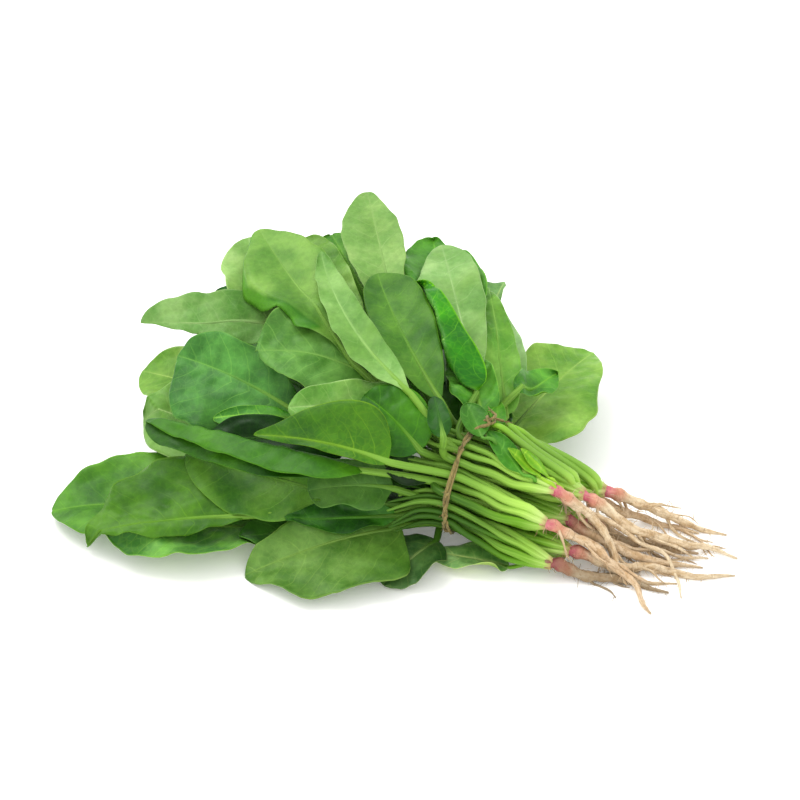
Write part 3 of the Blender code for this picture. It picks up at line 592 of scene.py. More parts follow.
def tie_slots():
    """Where each leaf's stalk passes the tie: (across, height), in the order of LEAF_ROWS."""
    slots = []
    for layer, row in enumerate(LEAF_ROWS):
        height = TIE_HEIGHT + (layer - (len(LEAF_ROWS) - 1) / 2) * ROW_PITCH
        for place in range(len(row)):
            slots.append([((len(row) - 1) / 2 - place) * SLOT_PITCH, height])
    slots = np.array(slots)
    ones = np.ones((len(slots), 1))
    for _ in range(SLOT_ROUNDS):
        slots += pushes(slots[:, None, :], ones * STALK_RADIUS, ones, True)[:, 0, :]
        slots = inside_tie(slots, STALK_RADIUS)
    return slots


def young_slots(slots):
    """The slots moved a little, and those of the thin young stalks in what room they leave."""
    draw = np.random.default_rng(SEEDS["young_slots"])
    turn = draw.uniform(0, 2 * math.pi, YOUNG_STALKS)
    out = np.sqrt(draw.uniform(0.05, 0.95, YOUNG_STALKS))
    across = out * np.cos(turn) * TIE_HALF_WIDTH
    height = TIE_HEIGHT + out * np.sin(turn) * TIE_HALF_HEIGHT
    both = np.concatenate([slots, np.stack([across, height], 1)])
    radii = np.array([STALK_ROOM] * len(slots) + [YOUNG_STALK_ROOM] * YOUNG_STALKS)[:, None]
    movable = np.array([LISTED_SLOT_FREEDOM] * len(slots) + [1.0] * YOUNG_STALKS)[:, None]
    for _ in range(YOUNG_SLOT_ROUNDS):
        both += pushes(both[:, None, :], radii, movable, True)[:, 0, :] * YOUNG_SLOT_STEP
        both = inside_tie(both, radii)
    return both[: len(slots)], both[len(slots) :]


def shared_out(slots, most):
    """The plant of each stalk: the nearest crowns that leave no plant with too many."""
    crowns = np.array([[across, height] for _, (_, across, height), _ in PLANTS])
    middle = crowns.mean(axis=0)
    spread = np.abs(slots - slots.mean(axis=0)).mean(axis=0) / np.abs(crowns - middle).mean(axis=0)
    crowns = slots.mean(axis=0) + (crowns - middle) * spread
    cost = ((slots[:, None] - crowns[None]) ** 2).sum(axis=2)
    room = list(most)
    plant = np.full(len(slots), -1)
    for index in np.argsort(cost, axis=None):
        leaf, crown = divmod(int(index), len(PLANTS))
        if plant[leaf] < 0 and room[crown] > 0:
            plant[leaf] = crown
            room[crown] -= 1
    better = True
    while better:
        better = False
        for a in range(len(slots)):
            for b in range(a + 1, len(slots)):
                now = cost[a, plant[a]] + cost[b, plant[b]]
                if cost[a, plant[b]] + cost[b, plant[a]] < now - 1e-9:
                    plant[a], plant[b] = plant[b], plant[a]
                    better = True
    return plant


def ring_places(offsets):
    """Angles round a crown for stalks that come from these sides of it, evenly spread."""
    angles = np.arctan2(offsets[:, 1], offsets[:, 0])
    order = np.argsort(angles)
    steps = 2 * math.pi / len(offsets) * np.arange(len(offsets))
    places = np.zeros(len(offsets))
    places[order] = (angles[order] - steps).mean() + steps
    return places


def tucked_room(across):
    """How high the stalks stay off the floor where the tucked leaf lies, plane by plane."""
    over = (across > TUCKED_ROOM_ACROSS[0]) & (across < TUCKED_ROOM_ACROSS[1])
    over[:, TUCKED_ROOM_PLANES:] = False
    return over * TUCKED_ROOM_HEIGHT


class Rods:
    """Every stalk and then every root, each with its centre and radius in the planes that it crosses."""

    def __init__(self, slots, plant, listed):
        """The first `listed` slots are those of the listed leaves, and the others those of young stalks."""
        count = len(slots) + len(PLANTS)
        self.centres = np.zeros((count, LAST_PLANE, 2))
        self.radii = np.full((count, LAST_PLANE), 1.0)
        self.there = np.zeros((count, LAST_PLANE), bool)
        self.movable = np.zeros((count, LAST_PLANE))
        for index, (_, crown, tip) in enumerate(PLANTS):
            mine = np.flatnonzero(plant == index)
            offsets = slots[mine] - slots[mine].mean(axis=0)
            young = mine >= listed
            kinds = ((~young, FOOT_RING, STALK_ROOM), (young, YOUNG_FOOT_RING, YOUNG_STALK_ROOM))
            for kind, ring, room in kinds:
                if kind.any():
                    for stalk, turn in zip(mine[kind], ring_places(offsets[kind])):
                        self.lay_stalk(stalk, slots[stalk], crown, ring, turn, room)
            self.lay_root(len(slots) + index, crown, tip)
        self.relax(plant)

    def lay(self, rod, planes, free, centres, radii):
        """Puts a rod in these planes. It can be moved in the free ones."""
        self.centres[rod, planes] = centres
        self.radii[rod, planes] = radii
        self.there[rod, planes] = True
        self.movable[rod, free] = 1.0

    def lay_stalk(self, rod, slot, crown, ring, turn, room):
        """A stalk from its slot to its place round its crown, with less room near the crown."""
        plane, across, height = crown
        planes = np.arange(plane + 1)
        foot = np.array([across + ring * math.cos(turn), height + ring * math.sin(turn)])
        lean = smooth(1.0 - (1.0 - planes / plane) ** 1.7)[:, None]
        crowd = 1.0 - CROWN_CROWDING * smooth(1.0 - (plane - planes) / CROWN_CROWDING_PLANES)
        self.lay(rod, planes, planes[1:-1], slot * (1 - lean) + foot * lean, room * crowd)

    def lay_root(self, rod, crown, tip):
        """A root from its crown, sinking to the floor and tapering to its tip."""
        first, across, height = crown
        last, tip_across = tip
        planes = np.arange(first, last + 1)
        share = np.linspace(0.0, 1.0, len(planes))
        radius = ROOT_TIP_RADIUS + (ROOT_RADIUS - ROOT_TIP_RADIUS) * (1.0 - share) ** 1.25
        fall = smooth(share * 1.25)
        heights = height * (1 - fall) + (radius + CLEARANCE) * fall
        centres = np.stack([across + (tip_across - across) * share, heights], 1)
        self.lay(rod, planes, planes[1:], centres, radius)

    def relax(self, plant):
        """Moves the rods clear of each other, except a stalk and its own root, and evens them out."""
        apart = self.there[:, None] & self.there[None, :]
        for stalk, root in enumerate(len(plant) + plant):
            apart[stalk, root] = False
            apart[root, stalk] = False
        inner = self.there[:, 1:-1] & self.there[:, :-2] & self.there[:, 2:] & (self.movable[:, 1:-1] > 0)
        centres = self.centres
        for turn in range(ROD_ROUNDS):
            if turn < EVEN_ROUNDS:
                even = (centres[:, :-2] + centres[:, 2:]) / 2 - centres[:, 1:-1]
                centres[:, 1:-1] += np.where(inner[..., None], even * EVEN_STEP, 0.0)
            moves = pushes(centres, self.radii, self.movable, apart) * ROD_STEP
            centres += np.where(self.movable[..., None] > 0, moves, 0.0)
            lowest = self.radii + CLEARANCE + tucked_room(centres[..., 0]) * self.there
            centres[..., 1] = np.where(self.there, np.maximum(centres[..., 1], lowest), centres[..., 1])


# Meshes


class Shape:
    """Points, faces and per-point values of one piece, gathered part by part."""

    def __init__(self):
        self.points = []
        self.quads = []
        self.tris = []
        self.values = []
        self.count = 0

    def add(self, points, quads, tris=(), **values):
        """One more part. A value is one for the whole part, or one for each of its points."""
        points = points.reshape(-1, 3)
        self.points.append(points)
        self.quads.append(np.asarray(quads, int).reshape(-1, 4) + self.count)
        self.tris.append(np.asarray(tris, int).reshape(-1, 3) + self.count)
        self.values.append((len(points), values))
        self.count += len(points)

    def build(self, name, look):
        """The piece as an object with this material, on the one body."""
        points = (np.concatenate(self.points) + SHIFT) * METRES
        points[:, 2] = np.maximum(points[:, 2], 0.0)
        quads = np.concatenate(self.quads)
        tris = np.concatenate(self.tris)
        corners = np.concatenate([quads.ravel(), tris.ravel()]).astype(np.int32)
        starts = np.concatenate([np.arange(len(quads)) * 4, len(quads) * 4 + np.arange(len(tris)) * 3])
        mesh = bpy.data.meshes.new(name)
        mesh.vertices.add(len(points))
        mesh.vertices.foreach_set("co", points.astype(np.float32).ravel())
        mesh.loops.add(len(corners))
        mesh.loops.foreach_set("vertex_index", corners)
        mesh.polygons.add(len(starts))
        mesh.polygons.foreach_set("loop_start", starts.astype(np.int32))
        mesh.update(calc_edges=True)
        mesh.shade_smooth()
        for key in sorted({key for _, values in self.values for key in values}):
            self.write(mesh, key, corners)
        made = bpy.data.objects.new(name, mesh)
        bpy.context.scene.collection.objects.link(made)
        mesh.materials.append(look)
        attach(made, "root")
        return made

    def write(self, mesh, key, corners):
        """Gives the mesh this value of every point, for its material. The places also make its UV map."""
        wide = 3 if key in ("place", "cast") else 1
        parts = []
        for count, values in self.values:
            value = np.asarray(values.get(key, 0.0), float)
            if value.size in (1, wide) and value.size < count * wide:
                value = np.broadcast_to(value, (count, wide))
            parts.append(value.reshape(count, wide))
        data = np.concatenate(parts).astype(np.float32)
        attribute = mesh.attributes.new(key, "FLOAT_VECTOR" if wide == 3 else "FLOAT", "POINT")
        attribute.data.foreach_set("vector" if wide == 3 else "value", data.ravel())
        if key == "place":
            layer = mesh.uv_layers.new(name="UVMap")
            layer.data.foreach_set("uv", (data[corners][:, :2] / 100.0).ravel())


def ring_faces(rows, sides):
    """Quads round a tube, between each ring of its points and the next."""
    row, side = np.meshgrid(np.arange(rows - 1), np.arange(sides), indexing="ij")
    a = row * sides + side
    b = row * sides + (side + 1) % sides
    return np.stack([a, b, b + sides, a + sides], -1).reshape(-1, 4)


def tube(path, radii, sides, hint=UP, groove=0.0):
    """A closed tube along the path. hint says which way its grooved side faces."""
    path = np.asarray(path, float)
    way = unit(np.gradient(path, axis=0))
    left = unit(np.cross(np.broadcast_to(hint, path.shape), way))
    top = np.cross(way, left)
    turn = 2 * math.pi * np.arange(sides) / sides
    size = np.asarray(radii, float)[:, None] * np.ones(sides)
    size = size * (1 - groove * np.exp(-(((turn - math.pi / 2) / 0.5) ** 2)))
    out = left[:, None] * (np.cos(turn) * size)[..., None] + top[:, None] * (np.sin(turn) * size)[..., None]
    points = np.concatenate([(path[:, None] + out).reshape(-1, 3), path[:1], path[-1:]])
    rows = len(path)
    ring = np.arange(sides)
    after = (ring + 1) % sides
    last = (rows - 1) * sides
    first_cap = np.stack([np.full(sides, rows * sides), after, ring], 1)
    last_cap = np.stack([np.full(sides, rows * sides + 1), ring + last, after + last], 1)
    return points, ring_faces(rows, sides), np.concatenate([first_cap, last_cap])


def per_ring(values, sides):
    """Values along a tube, given to every point of it in the order that tube() makes them."""
    values = np.asarray(values, float)
    return np.concatenate([np.repeat(values, sides), values[:1], values[-1:]])


def skin_places(far, sides, girth, slant=0.0, own=0.0):
    """The places that a tube's material uses: round it, along it, and a number of its own."""
    around = np.concatenate([np.tile(np.arange(sides) / sides, len(far)) * girth, [0.0, 0.0]])
    down = per_ring(far, sides)
    return np.stack([around + down * slant, down, np.full(len(around), own)], -1)


# Leaves


# points: the middle surface, (row, column, 3); v: from 0 at its base to 1 at its tip; along and across: in
# millimetres, across being more than 0 on its left; share: from 0 at its midrib to 1 at an edge; phase: which
# side vein each point is nearest, counted from the base
Blade = namedtuple("Blade", "points v along across share phase")


def placed(leaf, point):
    """A leaf's row with its base and tip made into points."""
    name, outline, base, tip, *shape = leaf
    return (name, outline, point(*base), point(*tip), *shape)


def blade_width(outline, half, given, v):
    """How far one edge of a blade is from its midrib at v, from 0 at its base to 1 at its tip."""
    if given:
        places = np.arccos(1 - 2 * np.array([0.0, *WIDTH_PLACES, 1.0])) / math.pi
        curve = through(np.stack([places, [BASE_WIDTH, *given, 0.0]], 1), 8)
        return np.interp(np.arccos(1 - 2 * v) / math.pi, curve[:, 0], curve[:, 1])
    grow, close = OUTLINES[outline]
    peak = grow / (grow + close)
    widest = peak**grow * (1 - peak) ** close
    inner = 0.012 + 0.986 * v
    return half * inner**grow * (1 - inner) ** close / widest


def blade_top(lean, roll, way):
    """Which way a blade's left side and its face point, leaning to the front and rolled about its length."""
    hint = np.array([0.0, -math.sin(math.radians(lean)), math.cos(math.radians(lean))])
    left = unit(np.cross(hint, way))
    top = np.cross(way, left)
    turn = math.radians(roll)
    rolled = top * math.cos(turn) + left * math.sin(turn)
    return np.cross(rolled, way), rolled


def bent_half(look, side, curl, v, share, width):
    """How far out and how far up each point of half a blade is, bent by its keel, its curl and its fold."""
    middle = (share[1:] + share[:-1]) / 2
    bend = math.radians(curl) * smooth(v / 0.3)[:, None] * smooth((middle - 0.1) / 0.9)
    angle = math.radians(BLADE_KEEL) * smooth(v / 0.2)[:, None] * (1 - 0.7 * middle) + bend
    if look["fold"] and look["fold"][0] == side:
        _, place, spread, turn, start, stop = look["fold"]
        window = smooth((v - start) / FOLD_FADE) * smooth((stop - v) / FOLD_FADE)
        line = np.interp(v, (start, stop), place)[:, None]
        angle = angle + math.radians(turn) * window[:, None] * smooth((middle - line) / spread)
    step = np.diff(share) * width[:, None]
    start = np.zeros((BLADE_ROWS, 1))
    out = np.concatenate([start, np.cumsum(np.cos(angle) * step, axis=1)], axis=1)
    rise = np.concatenate([start, np.cumsum(np.sin(angle) * step, axis=1)], axis=1)
    return out, rise


def blade_lift(blade, look, seed):
    """How far each point of a blade is lifted by pillows between its veins, swells and its wavy edge."""
    along = blade.along[:, None]
    across, share = blade.across, blade.share
    wide = np.minimum(1.0, np.abs(across) / 6.0)
    pillow = (np.abs(np.sin(math.pi * blade.phase)) ** 0.7 - 0.6) * wide * (1 - 0.5 * share)
    swell = ripple(seed + 6, across, along, 34.0) * (0.35 + 0.9 * share)
    fine = ripple(seed + 7, across, along, 9.0) * 0.22 * wide
    edge = ripple(seed + 8, along + across * 0.1, across * 0.3, 24.0) * share**3
    lift = look["crinkle"] * (0.55 * pillow + 0.55 * swell + fine) + look["wave"] * edge
    return lift * smooth(blade.v / 0.15)[:, None]


def make_blade(leaf, look, lean, seed):
    """A leaf's blade from its base to its tip, before it is settled."""
    _, outline, base, tip, halves, arch, roll, left_curl, right_curl = leaf
    v = 1 - (1 - np.linspace(0, 1, BLADE_ROWS)) ** ROW_CROWDING
    t = np.linspace(-1, 1, BLADE_COLUMNS)
    u = np.sign(t) * np.abs(t) ** COLUMN_CROWDING
    middle = (base + tip) / 2 + UP * arch
    middle = middle + unit(np.cross(UP, tip - base)) * look["bow"]
    vv = v[:, None]
    spine = base * (1 - vv) ** 2 + middle * 2 * vv * (1 - vv) + tip * vv**2
    way = unit((middle - base) * (1 - vv) + (tip - middle) * vv)
    left, top = blade_top(lean, roll, way)
    along = v * travelled(spine)[-1]
    out, rise, across = np.zeros((3, BLADE_ROWS, BLADE_COLUMNS))
    for sign, side, half, curl in ((1, "left", halves[0], left_curl), (-1, "right", halves[1], right_curl)):
        width = blade_width(outline, half, look[side], v)
        width = width * (1 + 0.02 * ripple(seed + (3 if sign > 0 else 4), along, along * 0, 17.0))
        width = np.maximum(width, LEAST_WIDTH)
        columns = np.arange(MIDRIB, BLADE_COLUMNS) if sign > 0 else np.arange(MIDRIB, -1, -1)
        share = np.abs(u[columns])
        x, z = bent_half(look, side, curl, v, share, width)
        out[:, columns] = sign * x
        rise[:, columns] = z
        across[:, columns] = sign * share * width[:, None]
    points = spine[:, None] + left[:, None] * out[..., None] + top[:, None] * rise[..., None]
    share = np.abs(u)[None, :] * np.ones((BLADE_ROWS, 1))
    reach = np.abs(across)
    phase = (along[:, None] - VEIN_RISE * reach - VEIN_BEND * reach**2) / VEIN_SPACING
    phase = phase + 0.45 * smooth(across / 4.0) + 0.10 * ripple(seed + 5, across, along[:, None], 30.0)
    blade = Blade(points, v, along, across, share, phase)
    lifted = points + surface_normals(points) * blade_lift(blade, look, seed)[..., None]
    return blade._replace(points=lifted)


def surface_normals(points):
    """Unit normals of a grid of points, on the side that faces up where the grid lies flat."""
    down_rows = np.gradient(points, axis=0)
    over_columns = np.gradient(points, axis=1)
    return unit(np.cross(down_rows, over_columns))


def hermite(start, start_way, end, end_way, t):
    """Points on the curve between two places, with its way given at both."""
    t = t[:, None]
    return (
        start * (2 * t**3 - 3 * t**2 + 1)
        + start_way * (t**3 - 2 * t**2 + t)
        + end * (3 * t**2 - 2 * t**3)
        + end_way * (t**3 - t**2)
    )


# Settling: each leaf is lifted until it clears what lies below it


def settle_axes():
    """The way that leaves are lifted, and the way back along the cells."""
    turn = math.radians(SETTLE_LEAN)
    return np.array([0.0, -math.sin(turn), math.cos(turn)]), np.array([0.0, math.cos(turn), math.sin(turn)])


SETTLE_UP, SETTLE_BACK = settle_axes()
SETTLE_CELLS = int(SETTLE_SPAN / SETTLE_CELL)


def floor_heights():
    """The floor, as heights over a grid of cells square to SETTLE_UP."""
    back = (np.arange(SETTLE_CELLS) + 0.5) * SETTLE_CELL - SETTLE_SPAN / 2
    return np.repeat((-back * math.tan(math.radians(SETTLE_LEAN)))[None, :], SETTLE_CELLS, axis=0)


def samples_of(grid):
    """Points spread over the grid's quads, three by three in each."""
    parts = []
    for a in (0.0, 1 / 3, 2 / 3):
        for b in (0.0, 1 / 3, 2 / 3):
            parts.append(
                grid[:-1, :-1] * (1 - a) * (1 - b)
                + grid[1:, :-1] * a * (1 - b)
                + grid[:-1, 1:] * (1 - a) * b
                + grid[1:, 1:] * a * b
            )
    return np.stack(parts, axis=2)


def cells_of(points):
    """The cell that each point is over."""
    across = ((points[..., 0] + SETTLE_SPAN / 2) / SETTLE_CELL).astype(int)
    back = ((points @ SETTLE_BACK + SETTLE_SPAN / 2) / SETTLE_CELL).astype(int)
    return across, back


def raise_ground(ground, points):
    """Raises the ground's cells to the points over them."""
    np.maximum.at(ground, cells_of(points), points @ SETTLE_UP)


def membrane(lift, rounds):
    """The lifts made smooth over the blade, and nowhere lower than they were."""
    wide = lift.copy()
    for _ in range(rounds):
        padded = np.pad(wide, 1, mode="edge")
        around = padded[1:-1, :-2] + padded[1:-1, 2:] + padded[:-2, 1:-1] + padded[2:, 1:-1]
        wide = np.maximum(lift, around / 4)
    return wide


def settle(grid, ground):
    """Lifts a leaf clear of the ground below it, then adds it to the ground. Its first rows are its stalk."""
    loose = np.linspace(0, 1, STALK_ROWS)
    for _ in range(SETTLE_ROUNDS):
        samples = samples_of(grid)
        short = (ground[cells_of(samples)] + SETTLE_GAP - samples @ SETTLE_UP).max(axis=2)
        lift = np.zeros(grid.shape[:2])
        for row in (0, 1):
            for column in (0, 1):
                part = lift[row : lift.shape[0] - 1 + row, column : lift.shape[1] - 1 + column]
                np.maximum(part, short, out=part)
        blade = membrane(lift[STALK_ROWS:], MEMBRANE_ROUNDS)
        needed = lift[:STALK_ROWS].max(axis=1) * np.minimum(1.0, loose * 4)
        carried = blade[0].mean() * loose**2
        lift[STALK_ROWS:] = blade
        lift[:STALK_ROWS] = np.maximum(needed, carried)[:, None]
        if lift.max() < SETTLED_LIFT:
            break
        grid = grid + lift[..., None] * SETTLE_UP
    raise_ground(ground, samples_of(grid))
    return grid


def settle_leaf(line, spread, blade, ground):
    """The settled stalk line and blade of a leaf. spread is how far its stalk's columns are from the line."""
    grid = settle(np.concatenate([line[:, None] + spread, blade.points]), ground)
    return grid[:STALK_ROWS, MIDRIB], blade._replace(points=grid[STALK_ROWS:])


def lay_leaf(leaf, look, start, stalk_radius, lean, ground, seed):
    """The settled stalk line and blade of one leaf beyond the tie."""
    blade = make_blade(leaf, look, lean, seed)
    base = leaf[2]
    run = np.linalg.norm(base - start)
    way = unit(blade.points[2, MIDRIB] - blade.points[0, MIDRIB])
    t = np.linspace(0, 1, STALK_ROWS, endpoint=False)
    line = hermite(start, -ALONG * run * 0.5, base, way * run * 0.7, t)
    left = unit(np.cross(UP, unit(np.gradient(line, axis=0))))
    spread = np.linspace(-1, 1, BLADE_COLUMNS) * stalk_radius * STALK_SHADOW
    line, blade = settle_leaf(line, left[:, None] * spread[:, None], blade, ground)
    return even_out(line, 3), blade


def lay_young(leaf, look, start, ground, seed):
    """A young leaf settled on the stalks: the line of its short stalk, and its blade."""
    blade = make_blade(leaf, look, 0.0, seed)
    base = leaf[2]
    way = unit(blade.points[3, MIDRIB] - blade.points[0, MIDRIB])
    run = np.linalg.norm(base - start)
    line = hermite(start, way * run, base, way * run, np.linspace(0, 1, STALK_ROWS, endpoint=False))
    spread = np.linspace(-STALK_SHADOW, STALK_SHADOW, BLADE_COLUMNS)[:, None] * ACROSS
    return settle_leaf(line, spread, blade, ground)


def twice(values):
    """Values of a blade's upper skin, given to its lower skin too."""
    return np.concatenate([values, values])


def blade_casts_and_light(blade, look):
    """How each point of a blade's skin is tinted, painted light and shade included: its leaf's cast, and its
    flap's beyond a fold.
    """
    folded = np.zeros(blade.across.shape)
    if look["fold"]:
        side, place, spread, _, start, stop = look["fold"]
        line = np.interp(blade.v, (start, stop), place)[:, None]
        here = (blade.across > 0) if side == "left" else (blade.across < 0)
        window = (blade.v > start) & (blade.v < stop)
        folded += here * window[:, None] * smooth((blade.share - line - spread * 0.5) / 0.12)
    flap_cast_and_light = 1 + (np.array(look["flap_cast_and_light"]) - 1) * folded[..., None]
    return (np.array(look["cast"]) * flap_cast_and_light).reshape(-1, 3)


def blade_quads(keep):
    """The quads of a blade's two skins where keep is set, and of the walls that join their bare edges."""
    rows, columns = keep.shape[0] + 1, keep.shape[1] + 1
    row, column = np.nonzero(keep)
    a = row * columns + column
    top = np.stack([a, a + 1, a + columns + 1, a + columns], 1)
    quads = [top, top[:, ::-1] + rows * columns]
    padded = np.pad(keep, 1)
    sides = (
        ((-1, 0), (0, 0), (0, 1)),
        ((1, 0), (1, 1), (1, 0)),
        ((0, -1), (1, 0), (0, 0)),
        ((0, 1), (0, 1), (1, 1)),
    )
    for (down, over), first, second in sides:
        beside = padded[1 + down : rows + down, 1 + over : columns + over]
        row, column = np.nonzero(keep & ~beside)
        p = (row + first[0]) * columns + column + first[1]
        q = (row + second[0]) * columns + column + second[1]
        quads.append(np.stack([q, p, p + rows * columns, q + rows * columns], 1))
    return np.concatenate(quads)


def add_blade(shape, blade, look, tone):
    """The two skins of a blade and the wall round its edge and its hole."""
    points, v, along, across, share, phase = blade
    thick = BLADE_THICKNESS / 2 * (1 - EDGE_THINNING * share**4)
    out = surface_normals(points) * thick[..., None]
    keep = np.ones((len(points) - 1, points.shape[1] - 1), bool)
    if look["hole"]:
        place, at, size = look["hole"]
        u = across / np.maximum(np.abs(across).max(), 1)
        near = ((v[:, None] - place) / size) ** 2 + ((u - at) / (size * 1.5)) ** 2
        keep &= near[:-1, :-1] > 1
    place = np.stack([across, np.broadcast_to(along[:, None], across.shape), share * 100], -1).reshape(-1, 3)
    rib = 0.5 + 1.0 * (1 - v[:, None])
    stalk = np.exp(-((across / rib) ** 2)).ravel() * 0.6
    shape.add(
        np.concatenate([(points + out).reshape(-1, 3), (points - out).reshape(-1, 3)]),
        blade_quads(keep),
        place=twice(place),
        under=np.repeat([0.0, 1.0], len(place)),
        stalk=twice(stalk),
        phase=twice(phase.ravel()),
        cast=twice(blade_casts_and_light(blade, look)),
        tone=tone,
        crown=1.0,
    )


# The points of every stalk, for what lies on them
tubes = []


def add_stalk(shape, path, radii, crown, tone, hint=UP, groove=RIB_GROOVE, cast=(1.0, 1.0, 1.0)):
    """A stalk or rib as a closed tube, with painted light that makes it paler the higher it lies.

    crown is 0 at its foot, 1 from the end of its pale part on, and more than 1 along a blade.
    """
    # Painted light and shade: a stalk is paler the higher it lies in the bunch, and darker the lower
    tone = tone + (float(np.mean(path[: len(path) // 3, 2])) - STALK_MEAN_HEIGHT) / STALK_PAINTED_LIGHT_SPAN
    points, quads, tris = tube(path, radii, STALK_SIDES, hint, groove)
    tubes.append(points)
    shape.add(
        points, quads, tris, place=skin_places(travelled(path), STALK_SIDES, 16.0), stalk=1.0, under=0.0,
        phase=0.5, tone=tone, cast=cast, crown=per_ring(crown, STALK_SIDES),
    )


# Materials


class Nodes:
    """A short way to write a material's nodes."""

    def __init__(self, name):
        self.material = bpy.data.materials.new(name)
        self.material.use_nodes = True
        self.tree = self.material.node_tree
        self.shader = self.tree.nodes["Principled BSDF"]

    def put(self, node, key, value):
        """Links a socket of a node to another, or sets it to a value."""
        if isinstance(value, bpy.types.NodeSocket):
            self.tree.links.new(value, node.inputs[key])
        else:
            node.inputs[key].default_value = value

    def add(self, kind, *values, out=0, settings=None, **named):
        """A new node's output. values go to its first inputs, and the named ones to those inputs."""
        node = self.tree.nodes.new(kind)
        for key, value in (settings or {}).items():
            setattr(node, key, value)
        for index, value in enumerate(values):
            self.put(node, index, value)
        for key, value in named.items():
            self.put(node, key, value)
        return node.outputs[out]

    def math(self, operation, a, b=0.0, clamp=False):
        return self.add("ShaderNodeMath", a, b, settings={"operation": operation, "use_clamp": clamp})

    def plus(self, a, b, clamp=False):
        return self.math("ADD", a, b, clamp)

    def minus(self, a, b, clamp=False):
        return self.math("SUBTRACT", a, b, clamp)

    def times(self, a, b, clamp=False):
        return self.math("MULTIPLY", a, b, clamp)

    def vectors(self, operation, a, b):
        return self.add("ShaderNodeVectorMath", a, b, settings={"operation": operation})

    def mix(self, share, a, b):
        """a where share is 0 and b where it is 1."""
        node = self.tree.nodes.new("ShaderNodeMix")
        node.data_type = "RGBA"
        for index, value in ((0, share), (6, a), (7, b)):
            self.put(node, index, value)
        return node.outputs[2]

    def ramp(self, value, low, high):
        """0 below low and 1 above high, smooth between them."""
        return self.add("ShaderNodeMapRange", value, low, high, settings={"interpolation_type": "SMOOTHSTEP"})

    def attribute(self, name, out="Fac"):
        return self.add("ShaderNodeAttribute", settings={"attribute_name": name}, out=out)

    def noise(self, place, scale, detail=2.0, rough=0.5):
        return self.add("ShaderNodeTexNoise", Vector=place, Scale=scale, Detail=detail, Roughness=rough)

    def stretched(self, place, x, y, z=1.0):
        return self.add("ShaderNodeMapping", Vector=place, Scale=(x, y, z))

    def bump(self, height, strength, distance):
        return self.add("ShaderNodeBump", Height=height, Strength=strength, Distance=distance)

    def finish(self, colour, rough, normal, **fixed):
        """The material, with these on its shader."""
        self.put(self.shader, "Base Color", colour)
        self.put(self.shader, "Roughness", rough)
        self.put(self.shader, "Normal", normal)
        for key, value in fixed.items():
            self.put(self.shader, key.replace("_", " "), value)
        return self.material


# The colours of each tint: its face dark and light, its other side dark and light, and its veins
TINTS = {
    "pale": ((84, 142, 46), (112, 166, 66), (30, 92, 2), (50, 118, 6), (130, 184, 84)),
    "fresh": ((72, 132, 30), (104, 158, 52), (46, 104, 12), (70, 130, 26), (136, 188, 76)),
    "mid": ((44, 96, 18), (72, 126, 38), (50, 106, 18), (78, 134, 36), (104, 160, 54)),
    "dull": ((52, 100, 24), (78, 122, 40), (42, 90, 18), (66, 112, 32), (110, 158, 60)),
    "deep": ((24, 74, 20), (52, 110, 42), (46, 96, 26), (72, 122, 44), (84, 144, 56)),
    "bright": ((38, 94, 2), (66, 124, 14), (40, 94, 10), (66, 122, 22), (124, 178, 52)),
}

# What a blade's colour is multiplied by in its random patches of painted shade and of painted light, as on a
# crinkled leaf
PAINTED_SHADE_PATCH = (0.70, 0.80, 0.55, 1.0)
PAINTED_LIGHT_PATCH = (1.24, 1.17, 1.36, 1.0)


def vein_strength(n, flat, share):
    """How strongly the side veins, and the fine net between them, show on a blade."""
    wobble = n.times(n.minus(n.noise(flat, 0.12, 1.0), 0.5), 0.22)
    saw = n.math("FRACT", n.plus(n.attribute("phase"), wobble))
    line = n.math("ABSOLUTE", n.minus(saw, 0.5))
    width = n.plus(0.025, n.times(n.minus(100.0, share), 0.0003))
    lateral = n.minus(1.0, n.math("DIVIDE", line, width), clamp=True)
    shaken = n.vectors("ADD", flat, n.add("ShaderNodeTexNoise", out=1, Vector=flat, Scale=0.4, Detail=1.0))
    net = n.add("ShaderNodeTexVoronoi", settings={"feature": "DISTANCE_TO_EDGE"}, Vector=shaken, Scale=0.24)
    net_line = n.minus(1.0, n.ramp(net, 0.0, 0.09), clamp=True)
    seen = n.plus(0.10, n.times(n.ramp(n.noise(flat, 0.045, 1.0), 0.35, 0.65), 0.28))
    return n.math("MAXIMUM", n.times(lateral, seen), n.times(net_line, 0.09))


def blade_colour(n, tint, flat, veins, cast):
    """A blade's face and other side in broad patches, with veins, mottling and painted patches of shade and
    light, tinted by its cast.
    """
    face_dark, face_light, back_dark, back_light, vein = (srgb(*colour) for colour in TINTS[tint])
    patch = n.ramp(n.noise(flat, 0.05, 3.0, 0.55), 0.32, 0.68)
    patch = n.plus(patch, n.times(n.attribute("tone"), 0.35), clamp=True)
    face = n.mix(patch, face_dark, face_light)
    back = n.mix(patch, back_dark, back_light)
    blade = n.mix(veins, n.mix(n.attribute("under"), face, back), vein)
    mottle = n.plus(0.70, n.times(n.noise(flat, 0.33, 4.0, 0.62), 0.60))
    # Random patches of painted shade and painted light
    shade_and_light_patches = n.ramp(n.noise(flat, 0.024, 2.0, 0.5), 0.36, 0.64)
    for shade in (mottle, n.mix(shade_and_light_patches, PAINTED_SHADE_PATCH, PAINTED_LIGHT_PATCH), cast):
        blade = n.vectors("MULTIPLY", blade, shade)
    return blade


